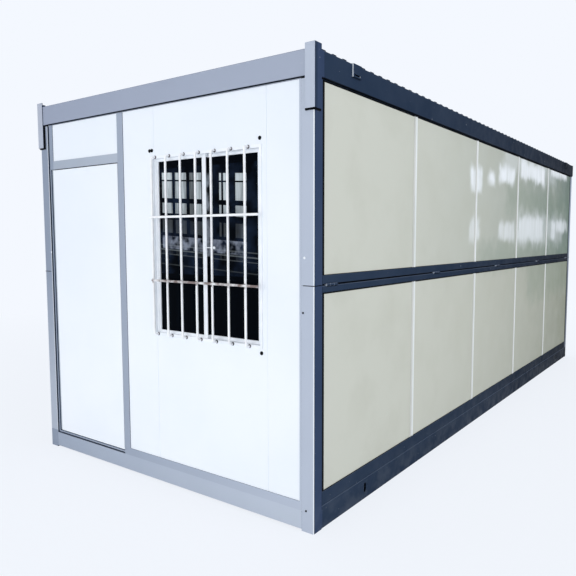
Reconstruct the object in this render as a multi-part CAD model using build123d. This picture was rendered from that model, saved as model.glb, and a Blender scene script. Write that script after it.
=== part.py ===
from build123d import *
import os

# A folding office cabin: steel base frame, two long walls that are each hinged along
# their middle, a roof frame with a ribbed sheet, and two end walls. The front end has
# a door and a barred sliding window. Millimetres, +Z up, +X is the right-hand long
# wall seen from the front, -Y is the front end. The origin is on the ground, in the
# middle of the plan.

# Overall sizes, over the corner posts and up to the top of the guide angles
cabin_length = 5800.0
cabin_width = 2400.0
cabin_height = 2500.0

# Steel sections and clearances
post_size = 78.0
tube_wall = 3.0
tube_corner = 5.0
channel_wall = 4.0
channel_bend = 6.0
seat_gap = 0.3
panel_gap = 1.5
cut_margin = 1.0

# Base frame
side_beam_height = 125.0
end_beam_height = 100.0
end_beam_lift = 10.0
joist_width = 50.0
joist_height = 80.0
joist_count = 11
rope_slot_height = 58.0
rope_slot_width = 27.0
rope_slot_from_end = 533.0
rope_slot_level = 68.0

# Long walls: lower half, fold line and upper half
sole_rail_top = 204.0
fold_level = 1303.0
fold_gap = 1.0
rail_gap = 8.0
lower_fold_rail = 40.0
upper_fold_rail = 51.0
wall_top_gap = 8.0
panel_thickness = 50.0
panel_recess = 5.0
panel_module = 1150.0
panel_edge_bevel = 2.0
joint_strip_width = 22.0
joint_strip_thickness = 2.0

# Hinges in the fold line
fold_hinge_count = 5
fold_hinge_from_end = 165.0
fold_hinge_length = 104.0
fold_knuckle_radius = 8.0
fold_knuckle_count = 3
fold_knuckle_sides = 12
fold_knuckle_gap = 2.0
fold_pin_radius = 4.5
fold_pin_sides = 6
fold_plate_thickness = 4.0
fold_pocket_height = 20.0
fold_knuckle_proud = 5.0
fold_knuckle_sink = 1.0

# Roof frame
roof_beam_height = 132.0
roof_beam_depth = 70.0
roof_overhang = 7.0
angle_leg = 60.0
angle_wall = 5.0
angle_above_roof = 25.0
angle_below_roof = 158.0
lug_from_end = 385.5
lug_width = 85.0
lug_height = 70.0
lug_thickness = 10.0
lug_slot_width = 62.0
lug_slot_height = 8.0
lug_slot_lift = 8.0
ceiling_thickness = 40.0
ceiling_gap = 1.0

# Ribbed roof sheet
rib_pitch = 100.0
rib_height = 19.0
rib_crest = 34.0
rib_valley = 38.0
sheet_thickness = 1.2
sheet_inset = 25.0

# End walls, with places measured from the left corner of the front. The window fills
# what the mullion, the right jamb and the two panels beside it leave free
end_wall_recess = 0.0
face_step = 3.0
left_jamb_edge = 144.0
left_jamb_groove = (86.0, 104.0)
left_jamb_groove_depth = 30.0
left_jamb_lip = 12.0
right_jamb_width = 13.0
mullion = (863.0, 921.0)
bottom_rail_top = 158.0
sill = (121.0, 131.0)
sill_undercut_depth = 14.0
transom_height = 58.0
over_door_height = 250.0
top_strip_inset = 12.0
top_strip_depth = 30.0
groove_width = 3.0
groove_depth = 1.5
left_panel_width = 266.0
right_panel_width = 247.0
left_joint_offset = 24.0
right_joint_offset = 33.0

# Door leaf, hinged at the left jamb and opening into the room
leaf_thickness = 40.0
leaf_hinge_gap = 5.0
leaf_lock_gap = 7.0
leaf_bottom_gap = 5.0
leaf_top_gap = 5.0
seal_width = 15.0
seal_depth = 24.0
seal_recess = 8.0
door_hinge_count = 3
door_hinge_from_edge = 200.0
door_hinge_height = 100.0
door_knuckle_radius = 6.0
door_knuckle_gap = 0.5
door_plate_width = 38.0
door_plate_thickness = 3.0
door_pin_out = 8.0
door_pin_side = 1.5

# Sliding window: height, frame and sashes
window_sill = 945.0
over_window_height = 295.0
frame_face = 17.0
frame_depth = 58.0
frame_proud = 5.0
sash_side = 35.0
sash_rail = 18.0
meeting_stile = 30.0
sash_depth = 18.0
sash_step = 12.0
track_gap = 3.0
member_gap = 0.2
glass_thickness = 5.0

# Window grille: bent rods over the window and two rods across them
bar_radius = 7.0
bar_count = 7
bar_inset_left = 39.0
bar_inset_right = 92.0
bar_standoff = 30.0
cross_bar_radius = 7.0
cross_bar_shares = (0.314, 0.662)
cross_bar_inset = 42.0
cross_bar_overrun = 8.0

# Derived places
half_length = cabin_length / 2
half_width = cabin_width / 2
post_inside = half_width - post_size
post_back = half_length - post_size
deck_top = side_beam_height
deck_bottom = end_beam_lift + end_beam_height
wall_face = half_width - panel_recess
fold_top = fold_level + fold_gap / 2
fold_bottom = fold_level - fold_gap / 2
roof_side_face = half_width + roof_overhang
roof_end_face = half_length + roof_overhang
roof_beam_top = cabin_height - angle_above_roof
roof_underside = roof_beam_top - roof_beam_height
angle_foot = roof_underside - angle_below_roof
wall_top = roof_underside - wall_top_gap
transom = (wall_top - over_door_height - transom_height, wall_top - over_door_height)
frame_face_y = half_length - end_wall_recess
panel_face_y = frame_face_y - face_step
end_wall_back = panel_face_y - panel_thickness
door_jamb_edge = left_jamb_groove[1] + left_jamb_lip
leaf_left = door_jamb_edge + seal_width + leaf_hinge_gap
leaf_right = mullion[0] - leaf_lock_gap
leaf_bottom = sill[1] + leaf_bottom_gap
leaf_top = transom[0] - leaf_top_gap
leaf_back_y = panel_face_y - leaf_thickness
hinge_axis_x = leaf_left + door_pin_side
hinge_axis_y = leaf_back_y - door_pin_out
window_head = wall_top - over_window_height
right_wall_edge = cabin_width - post_size - right_jamb_width
window_left = mullion[1] + left_panel_width
window_right = right_wall_edge - right_panel_width
panel_joints = (window_left + left_joint_offset, window_right + right_joint_offset)
bar_pitch = (window_right - bar_inset_right - window_left - bar_inset_left) / (bar_count - 1)


def slab(x, y, z):
    """Make a plain block between pairs of limits along X, Y and Z."""
    limits = [sorted(pair) for pair in (x, y, z)]
    size = [high - low for low, high in limits]
    centre = [(low + high) / 2 for low, high in limits]
    return Pos(*centre) * Box(*size)


def tube(x, y, z, axis, corner=tube_corner):
    """Make a rectangular steel tube open at its ends, with its outward corners rounded."""
    limits = {"X": sorted(x), "Y": sorted(y), "Z": sorted(z)}
    across = {"X": ("Y", "Z"), "Y": ("Z", "X"), "Z": ("X", "Y")}[axis]
    size = {name: high - low for name, (low, high) in limits.items()}
    middle = {name: (low + high) / 2 for name, (low, high) in limits.items()}
    middle[axis] = limits[axis][0]
    normal = [float(name == axis) for name in "XYZ"]
    x_dir = [float(name == across[0]) for name in "XYZ"]
    plane = Plane(origin=tuple(middle.values()), x_dir=x_dir, z_dir=normal)
    wide, tall = size[across[0]], size[across[1]]
    outside = plane * Rectangle(wide, tall)
    if corner:
        outward = max(abs(end) for end in limits["X"]) - tube_wall
        outside = fillet([v for v in outside.vertices() if abs(v.X) > outward], corner)
    bore = plane * Rectangle(wide - 2 * tube_wall, tall - 2 * tube_wall)
    return extrude(outside - bore, amount=size[axis], dir=tuple(normal))


def prism(outline, axis, start, end):
    """Extrude a closed outline of points along one axis, from start to end."""
    if axis == "X":
        points, way = [(start, u, v) for u, v in outline], (1, 0, 0)
    elif axis == "Y":
        points, way = [(u, start, v) for u, v in outline], (0, 1, 0)
    else:
        points, way = [(u, v, start) for u, v in outline], (0, 0, 1)
    face = Face(Wire.make_polygon(points, close=True))
    return extrude(face, amount=end - start, dir=way)


def channel_outline(face, side, depth, low, height):
    """Outline of a folded channel whose web is at face and whose flanges point inward."""
    inner = side * (face - depth)
    web = side * (face - channel_wall)
    outer = side * face
    high = low + height
    return [
        (outer, low), (inner, low), (inner, low + channel_wall), (web, low + channel_wall),
        (web, high - channel_wall), (inner, high - channel_wall), (inner, high), (outer, high),
    ]


def bend_edges(solid, face, axis):
    """Round the two long outer edges of a folded channel, where its sheet is bent."""
    along = {"X": Axis.X, "Y": Axis.Y}[axis]
    across = {"X": "Y", "Y": "X"}[axis]
    edges = [
        edge for edge in solid.edges().filter_by(along)
        if abs(abs(getattr(edge.center(), across)) - face) < seat_gap and edge.length > 20 * channel_bend
    ]
    return fillet(edges, channel_bend)


def front_x(distance):
    """Turn a distance from the front's left corner into a place along X."""
    return distance - half_width


def front_span(pair):
    """Turn two distances from the front's left corner into limits along X."""
    return (front_x(pair[0]), front_x(pair[1]))


def save(name, *solids):
    """Write one node's solids to its STEP file."""
    label = "parts/" + name + ".step"
    shape = solids[0] if len(solids) == 1 else Compound(children=list(solids))
    export_step(shape, label)


# Base frame

def side_base_beam(side):
    """Channel along one long side, with a rope slot near each end."""
    outline = channel_outline(half_width, side, post_size, 0.0, side_beam_height)
    beam = bend_edges(prism(outline, "Y", -post_back, post_back), half_width, "Y")
    for end in (-1, 1):
        centre = (side * half_width, end * (half_length - rope_slot_from_end), rope_slot_level)
        plane = Plane(origin=centre, x_dir=(0, 0, 1), z_dir=(1, 0, 0))
        slot = plane * SlotOverall(rope_slot_height, rope_slot_width)
        beam -= extrude(slot, amount=2 * channel_wall, both=True)
    return beam


def end_base_beam(end):
    """Channel across one end, between the corner blocks."""
    outline = channel_outline(half_length, end, post_size, end_beam_lift, end_beam_height)
    return prism(outline, "X", -post_inside, post_inside)


def corner_blocks():
    """Short tubes under the posts, which carry the cabin on the ground."""
    blocks = []
    for side in (-1, 1):
        for end in (-1, 1):
            x = (side * post_inside, side * half_width)
            y = (end * post_back, end * half_length)
            blocks.append(tube(x, y, (0, side_beam_height), "Z"))
    return blocks


def floor_joists():
    """Tubes across the base, welded between the webs of the side beams."""
    reach = half_width - channel_wall
    first = -post_back + 2 * post_size
    step = -2 * first / (joist_count - 1)
    joists = []
    for i in range(joist_count):
        middle = first + i * step
        y = (middle - joist_width / 2, middle + joist_width / 2)
        z = (deck_bottom - joist_height, deck_bottom)
        joists.append(tube((-reach, reach), y, z, "X", corner=0))
    return joists


def floor_deck():
    """Board that lies on the joists and end beams, level with the side beams."""
    x = post_inside - seat_gap
    y = end_wall_back - seat_gap
    return slab((-x, x), (-y, y), (deck_bottom, deck_top))


# Long walls

def wall_posts(side, low, high):
    """The two corner posts of one half of a long wall."""
    posts = []
    for end in (-1, 1):
        x = (side * post_inside, side * half_width)
        posts.append(tube(x, (end * post_back, end * half_length), (low, high), "Z"))
    return posts


def fold_hinge_places():
    """Places of the fold hinges along the wall, evenly spread."""
    first = -half_length + fold_hinge_from_end
    step = -2 * first / (fold_hinge_count - 1)
    return [first + i * step for i in range(fold_hinge_count)]


def hinge_pockets(side, shape):
    """Cut the pockets for the fold hinges out of a rail beside the fold line."""
    reach = fold_hinge_length / 2 + seat_gap
    knuckle_centre = half_width + fold_knuckle_proud - fold_knuckle_radius
    back = knuckle_centre - fold_knuckle_radius - fold_plate_thickness
    half_height = fold_pocket_height / 2
    for middle in fold_hinge_places():
        x = (side * back, side * (half_width + cut_margin))
        z = (fold_level - half_height, fold_level + half_height)
        shape -= slab(x, (middle - reach, middle + reach), z)
    return shape


def wall_rail(side, low, high):
    """Tube between the posts of a long wall."""
    x = (side * post_inside, side * half_width)
    reach = post_back - seat_gap
    return tube(x, (-reach, reach), (low, high), "Y")


def lower_wall_rails(side):
    """Sole rail on the base beam and the rail under the fold line."""
    fold_rail = wall_rail(side, fold_level - lower_fold_rail, fold_level - rail_gap / 2)
    return [wall_rail(side, side_beam_height, sole_rail_top), hinge_pockets(side, fold_rail)]


def upper_wall_rails(side):
    """Rail over the fold line and the flat strip that closes the wall's top."""
    fold_rail = wall_rail(side, fold_level + rail_gap / 2, fold_level + upper_fold_rail)
    x = (side * (half_width - panel_thickness), side * (half_width - top_strip_inset))
    reach = post_back - seat_gap
    strip = slab(x, (-reach, reach), (wall_top, roof_underside))
    return [hinge_pockets(side, fold_rail), strip]


def panel_joint_places():
    """Places of the panel joints along a long wall, counted out from its middle."""
    reach = post_back - panel_module / 4
    places = [panel_module / 2 + i * panel_module for i in range(int(cabin_length / panel_module))]
    kept = [place for place in places if place < reach]
    return [-place for place in reversed(kept)] + kept


def wall_panels(side, low, high):
    """Sandwich panels of one half of a long wall, with bevelled joints."""
    edges = [-post_back] + panel_joint_places() + [post_back]
    panels = []
    for start, end in zip(edges[:-1], edges[1:]):
        first = start + (seat_gap if start == edges[0] else panel_gap / 2)
        last = end - (seat_gap if end == edges[-1] else panel_gap / 2)
        outer, inner = side * wall_face, side * (wall_face - panel_thickness)
        bevel = side * (wall_face - panel_edge_bevel)
        outline = [
            (inner, first), (bevel, first), (outer, first + panel_edge_bevel),
            (outer, last - panel_edge_bevel), (bevel, last), (inner, last),
        ]
        panels.append(prism(outline, "Z", low + seat_gap, high - seat_gap))
    return panels


def joint_strips(side):
    """Flat white cover strips over the panel joints, in both halves of a long wall."""
    halves = (
        (sole_rail_top, fold_level - lower_fold_rail),
        (fold_level + upper_fold_rail, wall_top),
    )
    strips = []
    for low, high in halves:
        for middle in panel_joint_places():
            x = (side * wall_face, side * (wall_face + joint_strip_thickness))
            y = (middle - joint_strip_width / 2, middle + joint_strip_width / 2)
            strips.append(slab(x, y, (low + seat_gap, high - seat_gap)))
    return strips


def fold_hinges(side):
    """Butt hinges along the fold line: a back plate, a pin and knuckles on it."""
    centre_x = half_width + fold_knuckle_proud - fold_knuckle_radius
    plate_front = centre_x - fold_knuckle_radius + fold_knuckle_sink
    plate_back = plate_front - fold_plate_thickness
    half_height = fold_pocket_height / 2 - seat_gap
    knuckle = (fold_hinge_length - (fold_knuckle_count - 1) * fold_knuckle_gap) / fold_knuckle_count
    hinges = []
    for middle in fold_hinge_places():
        start = middle - fold_hinge_length / 2
        hinge = slab(
            (side * plate_back, side * plate_front),
            (start, start + fold_hinge_length),
            (fold_level - half_height, fold_level + half_height),
        )
        barrel = Plane(origin=(side * centre_x, start, fold_level), x_dir=(1, 0, 0), z_dir=(0, 1, 0))
        pin = barrel * RegularPolygon(fold_pin_radius, fold_pin_sides)
        hinge += extrude(pin, amount=fold_hinge_length)
        for i in range(fold_knuckle_count):
            place = barrel.offset(i * (knuckle + fold_knuckle_gap))
            ring = place * RegularPolygon(fold_knuckle_radius, fold_knuckle_sides)
            hinge += extrude(ring, amount=knuckle)
        hinges.append(hinge)
    return hinges


# Roof

def lug_places():
    """Places of the lifting lugs along a side roof beam."""
    return [end * (half_length - lug_from_end) for end in (-1, 1)]


def lug_slot(side, middle):
    """Block that cuts a lug's slot through its plate and the beam behind it."""
    low = roof_beam_top - lug_height + lug_slot_lift
    x = (side * (roof_side_face - 2 * channel_wall), side * (roof_side_face + 2 * lug_thickness))
    y = (middle - lug_slot_width / 2, middle + lug_slot_width / 2)
    return slab(x, y, (low, low + lug_slot_height))


def side_roof_beam(side):
    """Roof channel along one long side, between the end beams."""
    outline = channel_outline(roof_side_face, side, roof_beam_depth, roof_underside, roof_beam_height)
    reach = roof_end_face - roof_beam_depth
    beam = bend_edges(prism(outline, "Y", -reach, reach), roof_side_face, "Y")
    for middle in lug_places():
        beam -= lug_slot(side, middle)
    return beam


def end_roof_beam(end):
    """Roof channel across one end, closed by a plate at each corner."""
    outline = channel_outline(roof_end_face, end, roof_beam_depth, roof_underside, roof_beam_height)
    reach = roof_side_face - channel_wall
    beam = bend_edges(prism(outline, "X", -reach, reach), roof_end_face, "X")
    y = (end * (roof_end_face - roof_beam_depth), end * roof_end_face)
    for side in (-1, 1):
        x = (side * reach, side * roof_side_face)
        beam += slab(x, y, (roof_underside, roof_beam_top))
    return beam


def guide_angles():
    """Steel angles at the two front corners, which hang over the posts and stand above the roof."""
    outer_x = roof_side_face + angle_wall
    outer_y = roof_end_face + angle_wall
    angles = []
    for side in (-1, 1):
        outline = [
            (outer_x, outer_y), (outer_x, outer_y - angle_leg), (roof_side_face, outer_y - angle_leg),
            (roof_side_face, roof_end_face), (outer_x - angle_leg, roof_end_face),
            (outer_x - angle_leg, outer_y),
        ]
        placed = [(side * u, -v) for u, v in outline]
        angles.append(prism(placed, "Z", angle_foot, cabin_height))
    return angles


def lifting_lugs():
    """Welded lug plates near the ends of the side roof beams, each with a slot."""
    z = (roof_beam_top - lug_height, roof_beam_top)
    lugs = []
    for side in (-1, 1):
        for middle in lug_places():
            x = (side * roof_side_face, side * (roof_side_face + lug_thickness))
            plate = slab(x, (middle - lug_width / 2, middle + lug_width / 2), z)
            lugs.append(plate - lug_slot(side, middle))
    return lugs


def roof_sheet():
    """Ribbed steel sheet whose ribs run across the cabin, resting on the beams."""
    slope = (rib_pitch - rib_crest - rib_valley) / 2
    reach = half_length - sheet_inset
    count = int(2 * reach / rib_pitch)
    start = -count * rib_pitch / 2
    low = roof_beam_top
    line = []
    for i in range(count):
        y = start + i * rib_pitch
        line += [
            (y, low), (y + rib_valley, low), (y + rib_valley + slope, low + rib_height),
            (y + rib_valley + slope + rib_crest, low + rib_height),
        ]
    line += [(start + count * rib_pitch, low), (reach, low)]
    line[0] = (-reach, low)
    top = [(y, z + sheet_thickness) for y, z in reversed(line)]
    x = half_width - sheet_inset
    return prism(line + top, "X", -x, x)


def ceiling():
    """Ceiling board that lies on the bottom flanges of the roof beams."""
    x = roof_side_face - channel_wall - ceiling_gap
    y = roof_end_face - channel_wall - ceiling_gap
    low = roof_underside + channel_wall
    return slab((-x, x), (-y, y), (low, low + ceiling_thickness))


# Front wall

def front_slab(x, depth, z):
    """Block in the front wall: x from the left corner, depth limits in from the front."""
    return slab(front_span(x), (-depth[0], -depth[1]), z)


frame_depths = (frame_face_y, end_wall_back)
panel_depths = (panel_face_y, end_wall_back)


def front_left_jamb():
    """Folded jamb: a strip beside the post, a deep groove, and a lip that widens over the door."""
    groove_floor = frame_face_y - left_jamb_groove_depth
    outline = [
        (post_size + seat_gap, frame_face_y), (left_jamb_groove[0], frame_face_y),
        (left_jamb_groove[0], groove_floor), (left_jamb_groove[1], groove_floor),
        (left_jamb_groove[1], frame_face_y), (left_jamb_edge, frame_face_y),
        (left_jamb_edge, end_wall_back), (post_size + seat_gap, end_wall_back),
    ]
    jamb = prism([(front_x(u), -v) for u, v in outline], "Z", deck_bottom, wall_top)
    depth = (frame_face_y + cut_margin, end_wall_back - cut_margin)
    doorway = (door_jamb_edge, left_jamb_edge + cut_margin)
    jamb -= front_slab(doorway, depth, (deck_bottom - cut_margin, transom[0]))
    undercut = (left_jamb_groove[0], door_jamb_edge + cut_margin)
    depth = (frame_face_y + cut_margin, frame_face_y - sill_undercut_depth)
    return jamb - front_slab(undercut, depth, (deck_bottom - cut_margin, sill[0]))


def front_right_jamb():
    """Narrow jamb between the right-hand panel and its post."""
    x = (right_wall_edge, cabin_width - post_size - seat_gap)
    return front_slab(x, frame_depths, (deck_bottom, wall_top))


def front_frame():
    """Pieces of the front wall's frame between its jambs, by node name."""
    over_door = (left_jamb_edge, mullion[0])
    under_door = (door_jamb_edge, mullion[0])
    return {
        "front_mullion": front_slab(mullion, frame_depths, (deck_bottom, wall_top)),
        "door_sill": front_slab(under_door, frame_depths, sill),
        "transom_bar": front_slab(over_door, frame_depths, transom),
    }


def front_bottom_rail():
    """Rail under the white panels, from the mullion to the right jamb."""
    return front_slab((mullion[1], right_wall_edge), frame_depths, (deck_bottom, bottom_rail_top))


def door_seals():
    """Black rubber seals: one upright on the hinge side, one level under the sill."""
    upright = front_slab(
        (door_jamb_edge, door_jamb_edge + seal_width),
        (frame_face_y - seal_recess, frame_face_y - seal_recess - seal_depth),
        (sill[1], transom[0]),
    )
    level = front_slab(
        (door_jamb_edge, mullion[0]),
        (frame_face_y - sill_undercut_depth, frame_face_y - sill_undercut_depth - seal_depth),
        (deck_bottom, sill[0]),
    )
    return [upright, level]


def top_strip(end):
    """Strip that closes the top of an end wall, set back in the shadow of the roof."""
    x = post_inside - seat_gap
    face = frame_face_y - top_strip_inset
    return slab((-x, x), (end * face, end * (face - top_strip_depth)), (wall_top, roof_underside))


def groove(shape, place):
    """Cut the shallow upright line of a panel joint into the front."""
    x = (place - groove_width / 2, place + groove_width / 2)
    return shape - front_slab(x, (panel_face_y, panel_face_y - groove_depth), (0, cabin_height))


def front_panels():
    """White panels of the front wall, cut out around the window, by node name."""
    full = (bottom_rail_top + seat_gap, wall_top - seat_gap)
    left = (mullion[1] + seat_gap, window_left)
    middle = (window_left, window_right)
    right = (window_right, right_wall_edge - seat_gap)
    over = front_slab(middle, panel_depths, (window_head, full[1]))
    under = front_slab(middle, panel_depths, (full[0], window_sill))
    over_door = (left_jamb_edge + seat_gap, mullion[0] - seat_gap)
    return {
        "front_panel_left": front_slab(left, panel_depths, full),
        "front_panel_over_window": groove(over, panel_joints[0]),
        "front_panel_under_window": groove(under, panel_joints[0]),
        "front_panel_right": groove(front_slab(right, panel_depths, full), panel_joints[1]),
        "transom_panel": front_slab(over_door, panel_depths, (transom[1] + seat_gap, full[1])),
    }


# Door

def door_leaf():
    """Plain flush door leaf."""
    return front_slab((leaf_left, leaf_right), (panel_face_y, leaf_back_y), (leaf_bottom, leaf_top))


def door_hinge_levels():
    """Heights of the middles of the door hinges."""
    first = leaf_bottom + door_hinge_from_edge
    step = (leaf_top - door_hinge_from_edge - first) / (door_hinge_count - 1)
    return [first + i * step for i in range(door_hinge_count)]


def hinge_half(level, upper):
    """One half of a lift-off hinge: a plate with its knuckle."""
    half = door_hinge_height / 2
    gap = door_knuckle_gap / 2
    low, high = (level + gap, level + half) if upper else (level - half, level - gap)
    if upper:
        x = (hinge_axis_x, hinge_axis_x + door_plate_width)
        depth = (leaf_back_y, leaf_back_y - door_plate_thickness)
    else:
        x = (door_jamb_edge - door_plate_width / 2, hinge_axis_x)
        depth = (end_wall_back, end_wall_back - door_plate_thickness)
    knuckle = Pos(front_x(hinge_axis_x), -hinge_axis_y, (low + high) / 2)
    return front_slab(x, depth, (low, high)) + knuckle * Cylinder(door_knuckle_radius, high - low)


# Window

def ring_members(x, z, side_width, right_width, rail_height, depth):
    """Two stiles and two rails around a rectangle, a hair apart at their butt joints."""
    inner = (x[0] + side_width + member_gap, x[1] - right_width - member_gap)
    return [
        front_slab((x[0], x[0] + side_width), depth, z),
        front_slab((x[1] - right_width, x[1]), depth, z),
        front_slab(inner, depth, (z[0], z[0] + rail_height)),
        front_slab(inner, depth, (z[1] - rail_height, z[1])),
    ]


def window_frame():
    """Outer frame of the sliding window, a little proud of the wall."""
    depth = (panel_face_y + frame_proud, panel_face_y + frame_proud - frame_depth)
    x = (window_left, window_right)
    return ring_members(x, (window_sill, window_head), frame_face, frame_face, frame_face, depth)


def sash_limits():
    """Limits of the outer (left) and inner (right) sash: x, depth, left and right stile."""
    inner = (window_left + frame_face + seat_gap, window_right - frame_face - seat_gap)
    middle = (window_left + window_right) / 2
    outer_face = panel_face_y + frame_proud - sash_step
    inner_face = outer_face - sash_depth - track_gap
    half = meeting_stile / 2
    return (
        ((inner[0], middle + half), (outer_face, outer_face - sash_depth), sash_side, meeting_stile),
        ((middle - half, inner[1]), (inner_face, inner_face - sash_depth), meeting_stile, sash_side),
    )


def window_sashes_and_glass():
    """Members of both sashes, and the two panes held between them."""
    low = window_sill + frame_face + seat_gap
    high = window_head - frame_face - seat_gap
    members, panes = [], []
    for x, depth, left, right in sash_limits():
        members += ring_members(x, (low, high), left, right, sash_rail, depth)
        middle = (depth[0] + depth[1]) / 2
        pane_x = (x[0] + left + member_gap, x[1] - right - member_gap)
        pane_z = (low + sash_rail + member_gap, high - sash_rail - member_gap)
        pane_depth = (middle + glass_thickness / 2, middle - glass_thickness / 2)
        panes.append(front_slab(pane_x, pane_depth, pane_z))
    return members, panes


# Grille

def grille_bar(place):
    """Upright rod whose ends are mitred back and seat on the window frame."""
    front = panel_face_y + frame_proud
    x = front_x(place)
    y = -(front + bar_standoff)
    low = window_sill + frame_face / 2
    high = window_head - frame_face / 2
    path = Polyline((x, -front, low), (x, y, low), (x, y, high), (x, -front, high))
    section = Plane(origin=(x, -front, low), z_dir=(0, -1, 0)) * Circle(bar_radius)
    return sweep(section, path=path, transition=Transition.RIGHT)


def grille_cross_bars():
    """Two level rods that lie across the fronts of the upright rods."""
    y = -(panel_face_y + frame_proud + bar_standoff + bar_radius + cross_bar_radius)
    left = window_left + cross_bar_inset
    right = window_right + cross_bar_overrun
    length = right - left
    middle = front_x((left + right) / 2)
    rods = []
    for share in cross_bar_shares:
        level = window_sill + share * (window_head - window_sill)
        rods.append(Pos(middle, y, level) * Rot(0, 90, 0) * Cylinder(cross_bar_radius, length))
    return rods


# Rear wall

def rear_wall():
    """Plain rear wall: its two jambs, its bottom rail and its three panels."""
    jamb_width = left_jamb_edge - left_jamb_groove[1]
    reach = post_inside - seat_gap
    edge = reach - jamb_width
    frame_y = (end_wall_back, frame_face_y)
    panel_y = (end_wall_back, panel_face_y)
    joint = (panel_joints[1] - panel_joints[0]) / 2
    jambs = [slab((s * edge, s * reach), frame_y, (deck_bottom, wall_top)) for s in (-1, 1)]
    rail = slab((-edge, edge), frame_y, (deck_bottom, bottom_rail_top))
    z = (bottom_rail_top + seat_gap, wall_top - seat_gap)
    gap = panel_gap / 2
    spans = (
        (-edge + seat_gap, -joint - gap),
        (-joint + gap, joint - gap),
        (joint + gap, edge - seat_gap),
    )
    panels = [slab(span, panel_y, z) for span in spans]
    return jambs, rail, panels


def build_all():
    """Build every piece and write it to its own file."""
    os.makedirs("parts", exist_ok=True)

    save("base_end_beams", end_base_beam(-1), end_base_beam(1))
    save("base_side_beams", side_base_beam(-1), side_base_beam(1))
    save("base_corner_blocks", *corner_blocks())
    save("floor_joists", *floor_joists())
    save("floor_deck", floor_deck())

    for name, side in (("left", -1), ("right", 1)):
        lower_posts = wall_posts(side, side_beam_height, fold_bottom)
        upper_posts = wall_posts(side, fold_top, roof_underside)
        save(name + "_lower_frame", *lower_posts, *lower_wall_rails(side))
        save(name + "_lower_panels", *wall_panels(side, sole_rail_top, fold_level - lower_fold_rail))
        save(name + "_upper_frame", *upper_posts, *upper_wall_rails(side))
        save(name + "_upper_panels", *wall_panels(side, fold_level + upper_fold_rail, wall_top))
        save(name + "_joint_strips", *joint_strips(side))
        save(name + "_fold_hinges", *fold_hinges(side))

    save("roof_side_beams", side_roof_beam(-1), side_roof_beam(1))
    save("roof_end_beams", end_roof_beam(-1), end_roof_beam(1))
    save("roof_guide_angles", *guide_angles())
    save("roof_lifting_lugs", *lifting_lugs())
    save("roof_sheet", roof_sheet())
    save("ceiling", ceiling())

    save("front_jambs", front_left_jamb(), front_right_jamb())
    for name, solid in {**front_frame(), **front_panels()}.items():
        save(name, solid)
    save("end_wall_top_strips", top_strip(-1), top_strip(1))

    save("door_leaf", door_leaf())
    save("door_seals", *door_seals())
    save("door_hinge_plates", *[hinge_half(level, False) for level in door_hinge_levels()])
    save("door_hinge_leaves", *[hinge_half(level, True) for level in door_hinge_levels()])

    members, panes = window_sashes_and_glass()
    save("window_frame", *window_frame())
    save("window_sashes", *members)
    save("window_glass", *panes)
    bar_places = [window_left + bar_inset_left + i * bar_pitch for i in range(bar_count)]
    save("grille_bars", *[grille_bar(place) for place in bar_places])
    save("grille_cross_bars", *grille_cross_bars())

    jambs, rail, panels = rear_wall()
    save("rear_jambs", *jambs)
    save("rear_panels", *panels)
    save("end_wall_bottom_rails", front_bottom_rail(), rail)


build_all()
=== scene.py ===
"""Looks of a folding office cabin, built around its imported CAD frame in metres."""
import logging
import math
from dataclasses import dataclass, field
from enum import Enum
from typing import Any, Iterable, Sequence

import bmesh
import bpy
from mathutils import Matrix, Vector


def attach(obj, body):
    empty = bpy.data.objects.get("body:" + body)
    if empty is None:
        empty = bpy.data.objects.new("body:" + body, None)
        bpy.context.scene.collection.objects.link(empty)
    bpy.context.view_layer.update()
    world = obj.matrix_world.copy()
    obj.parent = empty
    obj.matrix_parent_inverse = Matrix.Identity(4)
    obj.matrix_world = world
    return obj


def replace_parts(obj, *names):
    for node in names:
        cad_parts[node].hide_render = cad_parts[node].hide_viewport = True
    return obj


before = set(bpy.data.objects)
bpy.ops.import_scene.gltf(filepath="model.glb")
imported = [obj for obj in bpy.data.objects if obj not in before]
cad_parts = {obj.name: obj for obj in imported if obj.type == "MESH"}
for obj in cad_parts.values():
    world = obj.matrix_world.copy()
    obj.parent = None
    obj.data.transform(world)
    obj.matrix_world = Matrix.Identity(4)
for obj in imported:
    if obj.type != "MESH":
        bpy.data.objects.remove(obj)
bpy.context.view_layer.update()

log = logging.getLogger("cabin")
MM = 0.001
SMOOTH_ANGLE = math.radians(35)
# How far an added piece reaches into the steel it sits on, so that no gap shows
SINK = 0.2 * MM

Tree = bpy.types.NodeTree
Node = bpy.types.Node
Mesh = bmesh.types.BMesh
Limits = tuple[float, float]
Place = tuple[float, float, float, float]


# Colours and nodes

def hex_to_linear(code: str) -> tuple[float, float, float, float]:
    """Turn an sRGB hex colour into the linear colour that a shader takes.

    Args:
        code: a colour such as "#aab4c2".

    Returns:
        Linear red, green and blue, with an alpha of one.
    """
    channels = [int(code[i:i + 2], 16) / 255 for i in (1, 3, 5)]
    linear = [c / 12.92 if c <= 0.04045 else ((c + 0.055) / 1.055) ** 2.4 for c in channels]
    return (linear[0], linear[1], linear[2], 1.0)


def per_metre(size_mm: float) -> float:
    """Turn the real size of a pattern, in millimetres, into a texture scale."""
    return 1000.0 / size_mm


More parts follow.
